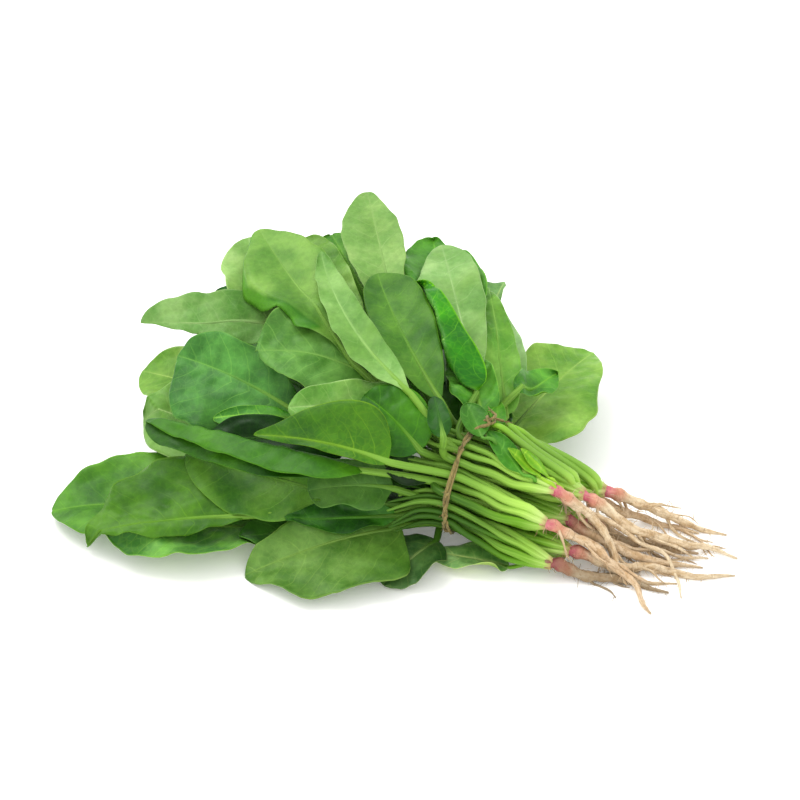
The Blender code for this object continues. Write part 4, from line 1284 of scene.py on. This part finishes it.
def stalk_colour(n, place, crown):
    """A stalk's streaked colour: pink at its foot, then pale, then a darker green past the crown."""
    streak = n.ramp(n.noise(n.stretched(place, 0.9, 0.03, 0.0), 1.0, 3.0, 0.6), 0.3, 0.7)
    vary = n.plus(n.times(streak, 0.6), n.plus(0.2, n.times(n.attribute("tone"), 1.1)), clamp=True)
    near = n.mix(vary, srgb(98, 150, 26), srgb(168, 210, 88))
    far = n.mix(vary, srgb(54, 94, 18), srgb(114, 158, 54))
    butt = n.mix(vary, srgb(150, 190, 80), srgb(192, 216, 128))
    stem = n.mix(n.ramp(crown, 0.2, 0.95), near, far)
    stem = n.mix(n.minus(1.0, n.ramp(crown, 0.0, 0.3)), stem, butt)
    blush = n.times(n.minus(1.0, n.ramp(crown, 0.0, 0.08)), 0.5)
    return n.mix(blush, stem, srgb(190, 110, 110))


def leaf_look(tint):
    """A leaf's material: its veined blade with specks and a painted highlight along its rim, its midrib and
    its ribbed stalk.
    """
    n = Nodes(f"leaf_{tint}")
    place = n.attribute("place", out="Vector")
    cast = n.attribute("cast", out="Vector")
    stalk = n.attribute("stalk")
    crown = n.attribute("crown")
    share = n.add("ShaderNodeSeparateXYZ", place, out=2)
    flat = n.vectors("ADD", n.stretched(place, 1.0, 1.0, 0.0), n.times(n.attribute("tone"), 900.0))
    veins = vein_strength(n, flat, share)
    vein = n.vectors("MULTIPLY", srgb(*TINTS[tint][4])[:3], cast)
    blade = blade_colour(n, tint, flat, veins, cast)
    rib = n.mix(RIB_PALENESS, blade, vein)
    # A painted highlight along the rim of the blade
    blade = n.mix(n.times(n.ramp(share, 96.5, 99.5), 0.5), blade, vein)
    speck = n.times(n.ramp(n.noise(flat, 0.9, 2.0), 0.70, 0.78), 0.25)
    blade = n.mix(speck, blade, srgb(*TINTS[tint][0]))
    stem = n.mix(n.ramp(crown, 1.0, 1.25), stalk_colour(n, place, crown), rib)
    stem = n.mix(n.math("GREATER_THAN", stalk, 0.95), rib, stem)
    grain = n.noise(flat, 1.4, 3.0, 0.6)
    ridges = n.noise(n.stretched(place, 1.6, 0.02, 0.0), 1.0, 1.0)
    height = n.plus(n.plus(n.times(grain, 0.35), n.times(veins, 0.9)), n.times(ridges, stalk))
    rough = n.plus(0.36, n.times(grain, 0.2))
    return n.finish(n.mix(stalk, blade, stem), rough, n.bump(height, 0.35, 0.0006), Specular_IOR_Level=0.2)


def root_look():
    """A root's material: pink collar, then beige skin with fine rings, specks and paler tips, with painted
    shade on the roots that lie lowest.
    """
    n = Nodes("root_skin")
    place = n.attribute("place", out="Vector")
    down = n.attribute("down")
    skin = n.noise(n.stretched(place, 0.35, 0.12, 0.35), 1.0, 4.0, 0.6)
    beige = n.mix(n.ramp(skin, 0.3, 0.7), srgb(194, 164, 122), srgb(232, 214, 182))
    beige = n.mix(n.times(n.attribute("tone"), 0.4, clamp=True), beige, srgb(186, 130, 88))
    pink = n.mix(n.ramp(skin, 0.25, 0.75), srgb(184, 72, 96), srgb(212, 130, 136))
    salmon = n.mix(n.ramp(skin, 0.25, 0.75), srgb(196, 128, 104), srgb(218, 164, 138))
    white = n.mix(n.ramp(skin, 0.3, 0.7), srgb(176, 196, 122), srgb(206, 190, 156))
    wander = n.plus(down, n.times(n.minus(skin, 0.5), 9.0))
    colour = n.mix(n.ramp(wander, 1.5, 9.0), pink, salmon)
    colour = n.mix(n.ramp(wander, 7.0, 18.0), colour, beige)
    colour = n.mix(n.ramp(wander, -5.0, 0.5), white, colour)
    rings = n.noise(n.stretched(place, 0.06, 1.3, 0.06), 1.0, 3.0, 0.65)
    colour = n.mix(n.times(n.ramp(rings, 0.56, 0.72), 0.45), colour, srgb(128, 90, 54))
    grime = n.ramp(n.noise(n.stretched(place, 0.5, 0.22, 0.5), 1.0, 5.0, 0.7), 0.46, 0.66)
    grime = n.times(grime, n.ramp(down, 6.0, 30.0))
    colour = n.mix(n.times(grime, 0.55), colour, srgb(140, 104, 64))
    speck = n.ramp(n.noise(place, 0.9, 3.0, 0.7), 0.60, 0.68)
    colour = n.mix(n.times(speck, 0.7), colour, srgb(92, 62, 36))
    # Painted shade on the roots that lie lowest
    colour = n.mix(n.attribute("shade"), colour, srgb(84, 66, 42))
    colour = n.mix(n.times(n.ramp(down, 50.0, 110.0), 0.4), colour, srgb(242, 230, 200))
    height = n.plus(n.times(rings, 0.8), n.times(n.noise(place, 1.5, 2.0), 0.4))
    rough = n.plus(0.5, n.times(skin, 0.25))
    return n.finish(colour, rough, n.bump(height, 0.9, 0.0008), Specular_IOR_Level=0.2)


def tie_look():
    """The tie's material: dry twisted fibre."""
    n = Nodes("tie_fibre")
    place = n.attribute("place", out="Vector")
    streak = n.noise(n.stretched(place, 2.2, 0.12, 0.0), 1.0, 4.0, 0.65)
    colour = n.mix(n.ramp(streak, 0.3, 0.7), srgb(78, 70, 32), srgb(170, 150, 90))
    patch = n.noise(n.stretched(place, 0.1, 0.05, 0.0), 1.0, 2.0)
    colour = n.mix(n.times(n.ramp(patch, 0.5, 0.75), 0.6), colour, srgb(62, 46, 26))
    rough = n.plus(0.7, n.times(streak, 0.2))
    return n.finish(colour, rough, n.bump(streak, 0.8, 0.0005), Specular_IOR_Level=0.25, Sheen_Weight=0.15)


def floor_look():
    """The floor's material: white paper that glows a little, as an overexposed backdrop does."""
    n = Nodes("floor_paper")
    grain = n.noise(n.add("ShaderNodeTexCoord", out=3), 60.0, 2.0)
    colour = n.mix(grain, (0.93, 0.925, 0.91, 1.0), (0.96, 0.955, 0.94, 1.0))
    glow = {"Emission_Color": (1.0, 1.0, 0.95, 1.0), "Emission_Strength": 0.10}
    return n.finish(colour, 0.85, n.bump(grain, 0.02, 0.0005), Specular_IOR_Level=0.1, **glow)


# The bunch


def draw_tone(draw):
    """How pale a leaf or stalk is beside the others."""
    return float(draw.uniform(-0.5, 0.5))


def stalk_path(centres, plane, seed):
    """The line of a stalk from its crown to the tie and just past it, bending a little on the way."""
    planes = np.arange(plane, -1, -1)
    points = [bundle_point(p * PLANE_STEP, *centres[p]) for p in planes]
    points.append(bundle_point(-STALK_EXIT, *centres[0]))
    points[0] = points[0] + ALONG * FOOT_LENGTH
    path = through(points, 3)
    share = np.linspace(0, 1, len(path))
    bend = np.sin(math.pi * np.minimum(1.0, share * 1.15)) * STALK_BEND
    steps = np.arange(len(path)) * 2.0
    path += ACROSS * (bend * ripple(seed, steps, steps * 0, STALK_WAVE, 4))[:, None]
    path += UP * (bend * ripple(seed + 1, steps, steps * 0, STALK_WAVE, 4))[:, None]
    return path


def stalk_size(far, size, crown_size):
    """A stalk's radius this far from its foot: narrow there, broad just past it, and then slimmer."""
    broad = (crown_size - size) * np.exp(-((far / 14.0) ** 2))
    return size + broad - 0.5 * crown_size * np.exp(-((far / 5.0) ** 2))


def build_leaf(leaf, stalk, lean, ground, seed, tone, looks, thin=1.0):
    """One leaf: its stalk from the crown, its midrib and its blade."""
    name = leaf[0]
    look = {**PLAIN_LEAF, **LEAF_LOOKS.get(name, {})}
    line, blade = lay_leaf(leaf, look, stalk[-1], STALK_TIE_RADIUS * thin, lean, ground, seed)
    shape = Shape()
    add_blade(shape, blade, look, tone)
    normal = surface_normals(blade.points)[:, MIDRIB]
    broad, slim = RIB_MIDDLE_RADII
    rib_radii = np.interp(
        blade.v, [0, 0.15, 0.6, 1.0], [STALK_BLADE_RADIUS * thin, broad * thin, slim, RIB_TIP_RADIUS]
    )
    rib = (blade.points[:, MIDRIB] - normal * (rib_radii * RIB_SINK)[:, None])[RIB_ROWS]
    path = np.concatenate([stalk[:-1], line, rib])
    bent = slice(len(stalk) - 5, len(stalk) + STALK_ROWS - 1)
    path[bent] = even_out(path[bent], 40)
    turning = UP + (normal[:1] - UP) * np.linspace(0, 1, len(line))[:, None]
    hint = np.concatenate([np.tile(UP, (len(stalk) - 1, 1)), turning, normal[RIB_ROWS]])
    far = travelled(path)
    tie_at = far[len(stalk) - 1]
    base_at = far[len(stalk) - 1 + len(line)]
    radii = stalk_size(far, STALK_TIE_RADIUS * thin, STALK_CROWN_RADIUS * thin)
    beyond = np.clip((far - tie_at) / max(base_at - tie_at, 1.0), 0.0, 1.0)
    radii = radii + (STALK_BLADE_RADIUS * thin - radii) * smooth(beyond)
    radii[-len(rib) :] = rib_radii[RIB_ROWS]
    crown = np.minimum(1.0, far / STALK_PALE_LENGTH)
    crown[-len(rib) :] = 1.0 + 0.3 * np.minimum(1.0, blade.v[RIB_ROWS] / 0.55)
    add_stalk(shape, path, even_out(radii, 3), crown, tone, hint, STALK_GROOVE, look["cast"])
    made = shape.build(name + "_look", looks[look["tint"]])
    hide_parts(name)


def build_leaves(rods, plant, draw, looks):
    """The listed leaves from the lowest layer up, each settled on those below it."""
    ground = floor_heights()
    leaves = [(layer, leaf) for layer, row in enumerate(LEAF_ROWS) for leaf in row]
    for index, (layer, leaf) in enumerate(leaves):
        plane = PLANTS[plant[index]][1][0]
        stalk = stalk_path(rods.centres[index], plane, SEEDS["stalks"] + index * 2)
        lean = SETTLE_LEAN * min(1.0, layer / LAYERS_TO_FULL_LEAN)
        seed = SEEDS["leaves"] + index * 10
        build_leaf(placed(leaf, reach_point), stalk, lean, ground, seed, draw_tone(draw), looks)


def build_tucked_leaf(looks):
    """The young leaf under the front stalks, on a short stalk from its crown."""
    plane, across, height = PLANTS[TUCKED_LEAF_CROWN][1]
    begin = bundle_point(plane * PLANE_STEP, across, height - TUCKED_STALK_DROP)
    stalk = np.linspace(0, 1, 4)[:, None] * (-ALONG * TUCKED_STALK_LENGTH) + begin
    leaf = placed(TUCKED_LEAF, bundle_point)
    build_leaf(leaf, stalk, 0.0, floor_heights(), SEEDS["tucked_leaf"], 0.0, looks, TUCKED_STALK_THINNESS)


def young_tail(start, slot, size, draw):
    """A young stalk's end beyond the tie, which spreads and sinks as it goes."""
    across, above = slot - TIE_MIDDLE
    tail = [start]
    for reach, spread, drop, rise in YOUNG_TAILS:
        height = (TIE_HEIGHT + above) * (1 - drop) + max(above, 0.0) * rise
        out = STALK_EXIT + reach * draw.uniform(0.8, 1.1)
        tail.append(bundle_point(-out, across * (1 + spread), max(height, size + 0.4)))
    return through(tail, 6)


def build_young_stalks(rods, plant, listed, draw, looks):
    """Thin stalks in the room between the others, in one piece."""
    shape = Shape()
    for index, own_plant in enumerate(plant):
        centres = rods.centres[listed + index]
        path = stalk_path(centres, PLANTS[own_plant][1][0], SEEDS["young_stalks"] + index * 2)
        size = YOUNG_STALK_RADIUS * draw.uniform(0.75, 1.1)
        path = np.concatenate([path[:-1], young_tail(path[-1], centres[0], size, draw)])
        bent = slice(len(path) - 18, len(path) - 8)
        path[bent] = even_out(path[bent], 8)
        far = travelled(path)
        radii = stalk_size(far, size, YOUNG_CROWN_RADIUS) * np.minimum(1.0, (far[-1] - far) / 30.0 + 0.35)
        crown = np.minimum(1.0, far / STALK_PALE_LENGTH)
        add_stalk(shape, path, radii, crown, draw_tone(draw), groove=STALK_GROOVE)
    made = shape.build("young_stalks", looks["mid"])


def add_young_stem(shape, line, blade, radius, cast):
    """A bare stem in place of a young leaf, with its ends sunk between the stalks."""
    path = np.concatenate([line, blade.points[::3, MIDRIB]])
    place = np.linspace(0, 1, len(path))
    sunk = 4.0 * (1 - smooth(place / 0.2)) + 7.0 * smooth((place - 0.8) / 0.2) - radius * 0.5
    path = even_out(path, 40) - SETTLE_UP * sunk[:, None]
    radii = np.interp(place, [0, 0.15, 0.7, 1], [1.4, radius, radius, 1.2])
    add_stalk(shape, path, radii, 0.35 + place, 0.6, cast=cast)


def add_young_leaf(shape, line, blade, look):
    """A young leaf: its blade, and its short stalk and midrib as one."""
    add_blade(shape, blade, look, 0.2)
    normal = surface_normals(blade.points)[:, MIDRIB]
    rib = blade.points[:-4:3, MIDRIB] - normal[:-4:3] * 0.3
    path = np.concatenate([even_out(line, 8), rib])
    radii = np.interp(np.arange(len(path)), [0, len(line), len(path) - 1], [1.2, 0.8, 0.25])
    add_stalk(shape, path, radii, np.full(len(path), 1.2), 0.3, cast=look["cast"])


def build_young_leaves(looks):
    """The young leaves and bare stems that lie on the stalks, in one piece."""
    bundle = floor_heights()
    for points in tubes:
        raise_ground(bundle, points)
    shape = Shape()
    for index, (base, tip, half, cast) in enumerate(YOUNG_LEAVES):
        start = bundle_point(base[0] + YOUNG_STALK_BACK, base[1] * 0.9, base[2] - YOUNG_STALK_SINK)
        leaf = placed(("young", "lance", base, tip, (half, half), *YOUNG_BENDS), bundle_point)
        look = {**PLAIN_LEAF, **YOUNG_LOOK, "cast": cast}
        line, blade = lay_young(leaf, look, start, bundle, SEEDS["young_leaves"] + index * 10)
        if half == YOUNG_STEM:
            add_young_stem(shape, line, blade, half, cast)
        else:
            add_young_leaf(shape, line, blade, look)
    made = shape.build("young_leaves", looks["bright"])


def build_inner_leaves(looks):
    """The leaves deep between the stalks, darkened with painted shade, in one piece."""
    shape = Shape()
    look = {**PLAIN_LEAF, "cast": INNER_PAINTED_SHADE}
    for index, (base, tip, half) in enumerate(INNER_LEAVES):
        leaf = placed(("inner", "oval", base, tip, (half, half), *INNER_BENDS), bundle_point)
        add_blade(shape, make_blade(leaf, look, 0.0, SEEDS["inner_leaves"] + index * 10), look, 0.0)
    made = shape.build("inner_leaves", looks["mid"])


def wandering(origin, heading, length, spread, sink, lowest, draw):
    """Points on a line that wanders off from its origin and sinks, but no lower than this over the floor."""
    points = [origin]
    for _ in range(4):
        heading = unit(heading + draw.normal(0, spread, 3) - UP * sink)
        spot = points[-1] + heading * (length / 4)
        spot[2] = max(spot[2], lowest)
        points.append(spot)
    return points


def root_hair(shape, origin, way, length, radius, draw, down, tone):
    """A fine hair on a root."""
    path = through(wandering(origin, unit(way), length, 0.25, 0.12, 0.3, draw), 2)
    body, quads, tris = tube(path, radius * np.linspace(1.0, 0.35, len(path)), HAIR_SIDES)
    shape.add(body, quads, tris, place=body, down=down, tone=tone)


def root_limb(shape, points, sizes, seed, start, draw, tone):
    """One root or side root through these points, tapering to its tip, with lumps and hairs.

    start is how far from its crown the material takes it to begin.
    """
    path = through([bundle_point(*point) for point in points], 9)
    far = travelled(path)
    share = far / far[-1]
    side = unit(np.cross(UP, np.gradient(path, axis=0)))
    sway = smooth(share * 4) * np.minimum(1.0, (1.0 - share) * 4 + 0.3)
    path = path + side * (ripple(seed, far, far * 0, ROOT_WAVE, 5) * 1.1 * sway)[:, None]
    path[:, 2] += ripple(seed + 1, far, far * 0, ROOT_WAVE, 5) * 0.7 * sway
    radii = np.interp(share, np.linspace(0, 1, len(sizes)), sizes)
    radii = even_out(radii, 3) * (1 + 0.10 * ripple(seed + 2, far, far * 0, 7.0, 6))
    path[:, 2] = np.maximum(path[:, 2], radii + 0.15)
    body, quads, tris = tube(path, radii, ROOT_SIDES)
    rings = len(path)
    turn = 2 * math.pi * np.tile(np.arange(ROOT_SIDES) / ROOT_SIDES, rings)
    lumps = ripple(seed + 3, np.repeat(far, ROOT_SIDES), np.cos(turn) * 5 + np.sin(turn) * 4, 8.0, 8) * 0.06
    ring = body[: rings * ROOT_SIDES].reshape(rings, ROOT_SIDES, 3)
    ring += (ring - path[:, None]) * lumps.reshape(rings, ROOT_SIDES, 1)
    place = skin_places(far, ROOT_SIDES, 14.0, own=seed * 7.0)
    shape.add(body, quads, tris, place=place, down=per_ring(start + far, ROOT_SIDES), tone=tone)
    way = unit(np.gradient(path, axis=0))
    for _ in range(int(far[-1] / ROOT_HAIR_SPACING)):
        at = int(rings * draw.uniform(0.12, 0.97))
        out = unit(draw.normal(0, 1, 3) + way[at] * 0.7)
        length = radii[at] + draw.uniform(*HAIR_LENGTHS)
        down = start + far[at] + HAIR_START
        root_hair(shape, path[at], out, length, draw.uniform(*HAIR_SIZES), draw, down, tone)


def build_root(name, seed, look):
    """A crown, its taproot, its side roots and its rootlets."""
    draw = np.random.default_rng(seed)
    shape = Shape()
    tone = float(draw.uniform(-0.3, 0.5))
    taproot, *others = ROOT_LINES[name]
    first, second = (np.array(point, float) for point in taproot[:2])
    begin = first - unit(second - first) * CROWN_DEPTH
    root_limb(shape, [tuple(begin), *taproot], CROWN_SIZES, seed, -CROWN_DEPTH, draw, tone)
    for index, line in enumerate(others):
        root_limb(shape, line, SIDE_ROOT_SIZES, seed + 5 + index * 5, SIDE_ROOT_START, draw, tone)
    spine = through(taproot, 8)
    for index in range(ROOTLETS):
        at = int(len(spine) * (0.12 + 0.6 * (index + draw.uniform(0, 0.8)) / ROOTLETS))
        way = unit(spine[at + 1] - spine[at])
        heading = unit(way + np.array([0.0, draw.uniform(-0.7, 0.7), draw.uniform(-0.5, 0.1)]))
        line = wandering(spine[at], heading, draw.uniform(*ROOTLET_LENGTHS), 0.22, 0.15, 0.7, draw)
        root_limb(shape, line, ROOTLET_SIZES, seed + 11 + index * 3, SIDE_ROOT_START, draw, tone)
    # Each root's painted shade
    for _, values in shape.values:
        values["shade"] = ROOT_PAINTED_SHADES.get(name, 0.0)
    made = shape.build(name + "_look", look)
    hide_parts(name)


def add_cord(shape, path, radius, seed):
    """One strand or fibre of the tie through these points."""
    path = np.asarray(path, float)
    far = travelled(path)
    radii = radius * (1 + 0.10 * ripple(seed, far, far * 0, 9.0))
    body, quads, tris = tube(path, radii, CORD_SIDES, ALONG)
    shape.add(body, quads, tris, place=skin_places(far, CORD_SIDES, 6.0, slant=0.8, own=seed * 9.0))


def add_strands(shape, turn, outline, way):
    """Two strands twisted round each other along the outline, apart in a loop low in front."""
    loop = TIE_LOOP_GAP * np.exp(-(((turn - TIE_LOOP_TURN) / TIE_LOOP_WIDTH) ** 2))
    apart = STRAND_RADIUS * (1 + loop)
    for strand in (0, 1):
        spin = turn * TIE_TWISTS + strand * math.pi
        aside = (strand - 0.5) * 2 * STRAND_RADIUS * loop
        shift_along = apart * np.cos(spin) * (1 - np.minimum(loop, 1)) + aside
        lift = STRAND_RADIUS * (1.15 + 0.9 * np.sin(spin))
        path = [bundle_point(a, *(o + w * l)) for a, o, w, l in zip(shift_along, outline, way, lift)]
        add_cord(shape, path, STRAND_RADIUS, SEEDS["strands"] + strand)


def add_knot(shape, draw):
    """The knot at the top of the tie, with frayed ends."""
    for index, line in enumerate(TIE_KNOT):
        path = through([bundle_point(*point) for point in line], 8)
        add_cord(shape, path, STRAND_RADIUS * 0.85, SEEDS["knot"] + index)
    for line in TIE_KNOT:
        before, end = (bundle_point(*point) for point in line[-2:])
        for _ in range(FRAYS_PER_END):
            way = unit(end - before + draw.normal(0, 1.2, 3))
            points = [end, end + way * 1.6, end + way * 3.0 + draw.normal(0, 0.5, 3)]
            add_cord(shape, through(points, 4), FRAY_RADIUS, SEEDS["frays"])


def build_tie(slots, radii, look):
    """The tie round the stalks, which are circles with these radii: two strands, a knot and loose fibres."""
    shape = Shape()
    turn = np.linspace(0, 2 * math.pi, STRAND_POINTS)
    way = np.stack([np.cos(turn), np.sin(turn)], 1)
    support = even_out(((slots - TIE_MIDDLE) @ way.T + radii[:, None]).max(axis=0), 4)
    slope = np.gradient(support, turn)
    outline = TIE_MIDDLE + way * support[:, None] + np.stack([-way[:, 1], way[:, 0]], 1) * slope[:, None]
    draw = np.random.default_rng(SEEDS["tie"])
    add_strands(shape, turn, outline, way)
    add_knot(shape, draw)
    for _ in range(FIBRES):
        at = draw.integers(0, STRAND_POINTS)
        spot = bundle_point(draw.normal(0, 0.6), *(outline[at] + way[at] * STRAND_RADIUS * 1.8))
        out = bundle_point(draw.normal(0, 1.0), *(way[at] * draw.uniform(0.4, 1.4)))
        points = [spot, spot + out, spot + out * 1.6 + draw.normal(0, 0.4, 3)]
        add_cord(shape, through(points, 3), FIBRE_RADIUS, SEEDS["fibres"])
    made = shape.build("tie_look", look)
    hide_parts("tie")


# The view and the studio


def link(name, data):
    """A new object of the scene with this data."""
    made = bpy.data.objects.new(name, data)
    bpy.context.scene.collection.objects.link(made)
    return made


def make_camera():
    """The camera, which looks down at the bunch from its front."""
    tilt = math.radians(CAMERA_TILT)
    focus = np.array(CAMERA_FOCUS) + SHIFT
    camera = bpy.data.cameras.new("camera")
    camera.lens = CAMERA_LENS
    camera.sensor_width = CAMERA_SENSOR
    camera.clip_end = CAMERA_CLIP
    holder = link("camera", camera)
    holder.location = (focus - CAMERA_DISTANCE * np.array([0, math.cos(tilt), -math.sin(tilt)])) * METRES
    holder.rotation_euler = (math.pi / 2 - tilt, 0, 0)
    bpy.context.scene.camera = holder


def make_lights():
    """A white world and two soft lamps, aimed at the bunch."""
    world = bpy.data.worlds.new("studio")
    world.use_nodes = True
    world.node_tree.nodes["Background"].inputs[0].default_value = (1.0, 1.0, 1.0, 1.0)
    world.node_tree.nodes["Background"].inputs[1].default_value = WORLD_STRENGTH
    bpy.context.scene.world = world
    for name, spot, size, power in LAMPS:
        light = bpy.data.lights.new(name, "AREA")
        light.shape = "DISK"
        light.size = size
        light.energy = power
        lamp = link(name, light)
        lamp.location = spot
        aim = np.array(LAMP_AIM) - np.array(spot)
        flat = math.hypot(aim[0], aim[1])
        lamp.rotation_euler = (math.atan2(flat, -aim[2]), 0, math.atan2(aim[1], aim[0]) - math.pi / 2)
    bpy.context.scene.view_settings.view_transform = "Standard"


def make_floor():
    """The white floor, which is only for the picture."""
    mesh = bpy.data.meshes.new("floor")
    far = FLOOR_REACH
    mesh.from_pydata([(-far, -far, 0), (far, -far, 0), (far, far, 0), (-far, far, 0)], [], [(0, 1, 2, 3)])
    floor = link("floor", mesh)
    mesh.materials.append(floor_look())


def main():
    make_camera()
    make_lights()
    make_floor()
    looks = {tint: leaf_look(tint) for tint in TINTS}
    slots, young = young_slots(tie_slots())
    listed = len(slots)
    most = [MOST_LEAVES_PER_PLANT] * len(PLANTS)
    most[TUCKED_LEAF_CROWN] -= 1
    plant = shared_out(slots, most)
    young_plant = shared_out(young, [MOST_YOUNG_PER_PLANT] * len(PLANTS))
    everyone = np.concatenate([slots, young])
    rods = Rods(everyone, np.concatenate([plant, young_plant]), listed)
    draw = np.random.default_rng(SEEDS["tones"])
    build_leaves(rods, plant, draw, looks)
    build_tucked_leaf(looks)
    build_young_stalks(rods, young_plant, listed, draw, looks)
    build_young_leaves(looks)
    build_inner_leaves(looks)
    skin = root_look()
    for index, name in enumerate(ROOT_LINES):
        build_root(name, SEEDS["roots"] + index * 20, skin)
    radii = np.array([STALK_TIE_RADIUS] * listed + [YOUNG_STALK_RADIUS] * len(young))
    build_tie(everyone, radii, tie_look())


main()
